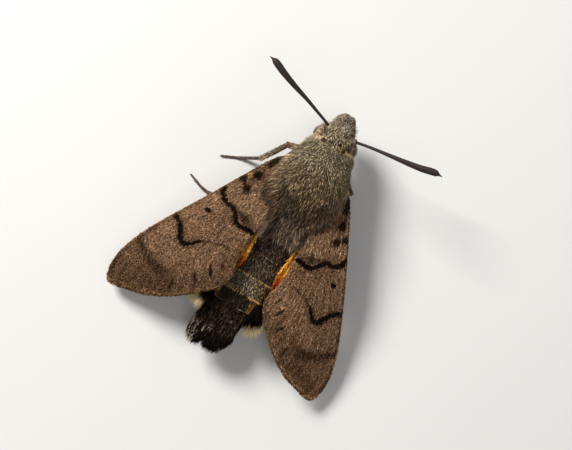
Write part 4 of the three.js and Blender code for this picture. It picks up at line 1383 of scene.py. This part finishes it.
def make_proboscis():
    """The tongue, coiled under the snout on a short stem."""
    t = np.linspace(0, 1, 160)
    turn = 1.2 - t * COIL_TURNS * 2 * math.pi
    radius = 0.8 - 0.66 * t
    coil = join(0, COIL_AT[0] + radius * np.cos(turn), COIL_AT[1] + radius * np.sin(turn))
    share = np.linspace(0, 1, 240)
    line = along(measured(np.concatenate([COIL_STEM, coil])), share)
    make("proboscis_coil", *ringed(line, 0.105 * (1 - 0.55 * share), 8, [1.0, 0, 0], 1.5),
         COIL_BROWN, HORN, "feeler", "proboscis")


# Legs

LEGS = {
    "front_left": ((1.53, -0.87, 3.17), (3.72, -0.3, 3.1), (5.25, 2.25, 1.6), ((7.0, 3.3), (8.7, 4.1))),
    "front_right": ((1.53, -0.87, 3.17), (4.2, 0.6, 3.6), (3.3, -0.6, 0.75), ((2.4, -2.3), (1.6, -4.3))),
    "middle_left": ((1.9, 1.9, 3.0), (4.4, 4.2, 3.0), (6.3, 7.75, 0.9), ((8.4, 8.0), (10.35, 7.4))),
    "middle_right": ((1.9, 1.9, 3.0), (4.4, 4.0, 3.0), (5.6, 7.2, 0.8), ((6.3, 9.0), (7.2, 11.0))),
    "hind_left": ((1.62, 4.33, 3.08), (3.5, 7.0, 2.9), (4.9, 11.2, 0.85), ((5.2, 13.1), (5.6, 15.2))),
    "hind_right": ((1.65, 4.27, 3.12), (3.5, 7.0, 2.9), (4.8, 11.0, 0.85), ((5.3, 12.9), (5.9, 15.0))),
}
THIGH = [[0, 0.36], [0.5, 0.33], [1, 0.26]]
SHANK = [[0, 0.24], [0.6, 0.27], [1, 0.22]]
FOOT = [[0, 0.2], [0.25, 0.18], [0.6, 0.155], [1, 0.1]]
SOLE_LINE = 0.15
LEG_GREY = tone(128, 112, 90)
LEG_PALE = tone(214, 190, 158)
LEG_BROWN = tone(92, 66, 44)
FOOT_DARK = tone(98, 82, 70)


def straight(a, b):
    return route([a, (a + b) / 2, b])


def make_legs():
    rng = np.random.default_rng(SEED + 40)
    for name, (hip, knee, heel, toes) in LEGS.items():
        sign = 1.0 if name.endswith("left") else -1.0
        hip, knee, heel = [np.array(p) * [sign, 1, 1] for p in (hip, knee, heel)]
        sole = [np.array([x * sign, y, SOLE_LINE - 0.03 * k]) for k, (x, y) in enumerate(toes)]
        coats = []
        for part, path, radii in (("femur", straight(hip, knee), THIGH),
                                  ("tibia", straight(knee, heel), SHANK)):
            make(f"leg_{name}_{part}_skin", *swept(path, radii, 14, 14), LEG_GREY * 0.5, SKIN,
                 "leg_scales", f"leg_{name}_{part}")
            root, normal, way, place, share = tube_roots(path, radii, 0.12, rng)
            inner = step(0.2, 0.8, normal[:, 1] * 0.7 - normal[:, 0] * sign * 0.6)
            near_knee = share if part == "femur" else 1 - share
            tint = blend(LEG_GREY, LEG_PALE, 0.8 * inner)
            tint = blend(tint, LEG_BROWN, 0.9 * step(0.6, 0.85, near_knee))
            place = place * [1, 0.3] + [0, 0.0 if part == "femur" else 0.33]
            coats.append(surface_coat(root, normal, way, tint, place, 0.4, 0.13, 0.07, rng))
        foot = route([heel, *sole])
        points, faces, bake = swept(foot, FOOT, 61, 12, 5, -0.25)
        points[:, 2] = np.maximum(points[:, 2], 0.0)
        make(f"leg_{name}_tarsus_skin", points, faces, bake, FOOT_DARK * 0.7, SKIN, "leg_scales",
             f"leg_{name}_tarsus")
        root, normal, way, place, _ = tube_roots(foot, FOOT, 0.1, rng)
        root, normal, way, place = [a[root[:, 2] > 0.06] for a in (root, normal, way, place)]
        place = place * [1, 0.3] + [0, 0.66]
        coats.append(surface_coat(root, normal, way, FOOT_DARK, place, 0.22, 0.08, 0.03, rng))
        points, faces, bake, tint = gather(coats)
        points[:, 2] = np.maximum(points[:, 2], 0.004)
        make(f"leg_{name}_coat", points, faces, bake, tint, FUR, "leg_scales")


# Stage

IMAGE_UP = np.array([0.522, -0.853, 0.0])
AIM = np.array([-0.03, 6.75, 5.6])
FRAME_WIDTH = 57.2
LENS, SENSOR = 100.0, 36.0
LEAN = math.radians(7.0)


def place_camera():
    data = bpy.data.cameras.new("camera")
    data.lens = LENS
    data.sensor_width = SENSOR
    data.clip_start = 0.005
    data.clip_end = 10
    camera = bpy.data.objects.new("camera", data)
    bpy.context.scene.collection.objects.link(camera)
    back = np.array([math.sin(LEAN), 0, math.cos(LEAN)])
    right = unit(np.cross(IMAGE_UP, back))
    up = np.cross(back, right)
    place = (AIM + back * FRAME_WIDTH * LENS / SENSOR) * MM + SHIFT
    turn = [[right[i], up[i], back[i], place[i]] for i in range(3)]
    camera.matrix_world = Matrix(turn + [[0, 0, 0, 1]])
    bpy.context.scene.camera = camera


LIGHTS = (
    # name, place, size across, power, colour
    ("key", (0.28, -0.11, 0.24), 0.14, 2.5, (1.0, 0.97, 0.92)),
    ("fill", (-0.3, 0.15, 0.3), 0.3, 0.06, (1.0, 1.0, 1.0)),
    ("top", (-0.04, 0.03, 0.4), 0.2, 0.19, (1.0, 1.0, 1.0)),
    ("rear", (-0.2, 0.27, 0.07), 0.12, 0.13, (1.0, 1.0, 1.0)),
)
LIT_PLACE = (0, 0, 0.004)
FLOOR_REACH = 1.5


def make_lights():
    for name, place, size, power, colour in LIGHTS:
        data = bpy.data.lights.new(name, "AREA")
        data.shape = "DISK"
        data.size = size
        data.energy = power
        data.color = colour
        lamp = bpy.data.objects.new(name, data)
        lamp.location = place
        way = Vector(LIT_PLACE) - Vector(place)
        lamp.rotation_euler = way.to_track_quat("-Z", "Y").to_euler()
        bpy.context.scene.collection.objects.link(lamp)


def make_stage():
    """Pale floor, plain pale surroundings and soft lights."""
    bpy.context.scene.view_settings.view_transform = "Standard"
    world = bpy.data.worlds.new("studio")
    world.use_nodes = True
    set_inputs(world.node_tree.nodes["Background"], Color=(1.0, 0.98, 0.95, 1), Strength=0.25)
    bpy.context.scene.world = world
    make_lights()
    mesh = bpy.data.meshes.new("floor")
    corners = [(x * FLOOR_REACH, y * FLOOR_REACH, 0) for x, y in ((-1, -1), (1, -1), (1, 1), (-1, 1))]
    mesh.from_pydata(corners, [], [(0, 1, 2, 3)])
    floor = bpy.data.objects.new("floor", mesh)
    bpy.context.scene.collection.objects.link(floor)
    material, tree, shader = new_material("floor")
    set_inputs(shader, Roughness=0.7)
    noise = add_node(tree, "TexNoise", Scale=40.0)
    ramp = add_node(tree, "MapRange", To_Min=0.62, To_Max=0.66)
    link(tree, noise, "Fac", ramp, "Value")
    link(tree, ramp, "Result", shader, "Base Color")
    mesh.materials.append(material)


place_camera()
make_stage()
make_skin()
make_coat()
make_tail()
make_side_tufts()
make_wings()
make_eyes()
make_feelers()
make_palps()
make_proboscis()
make_legs()
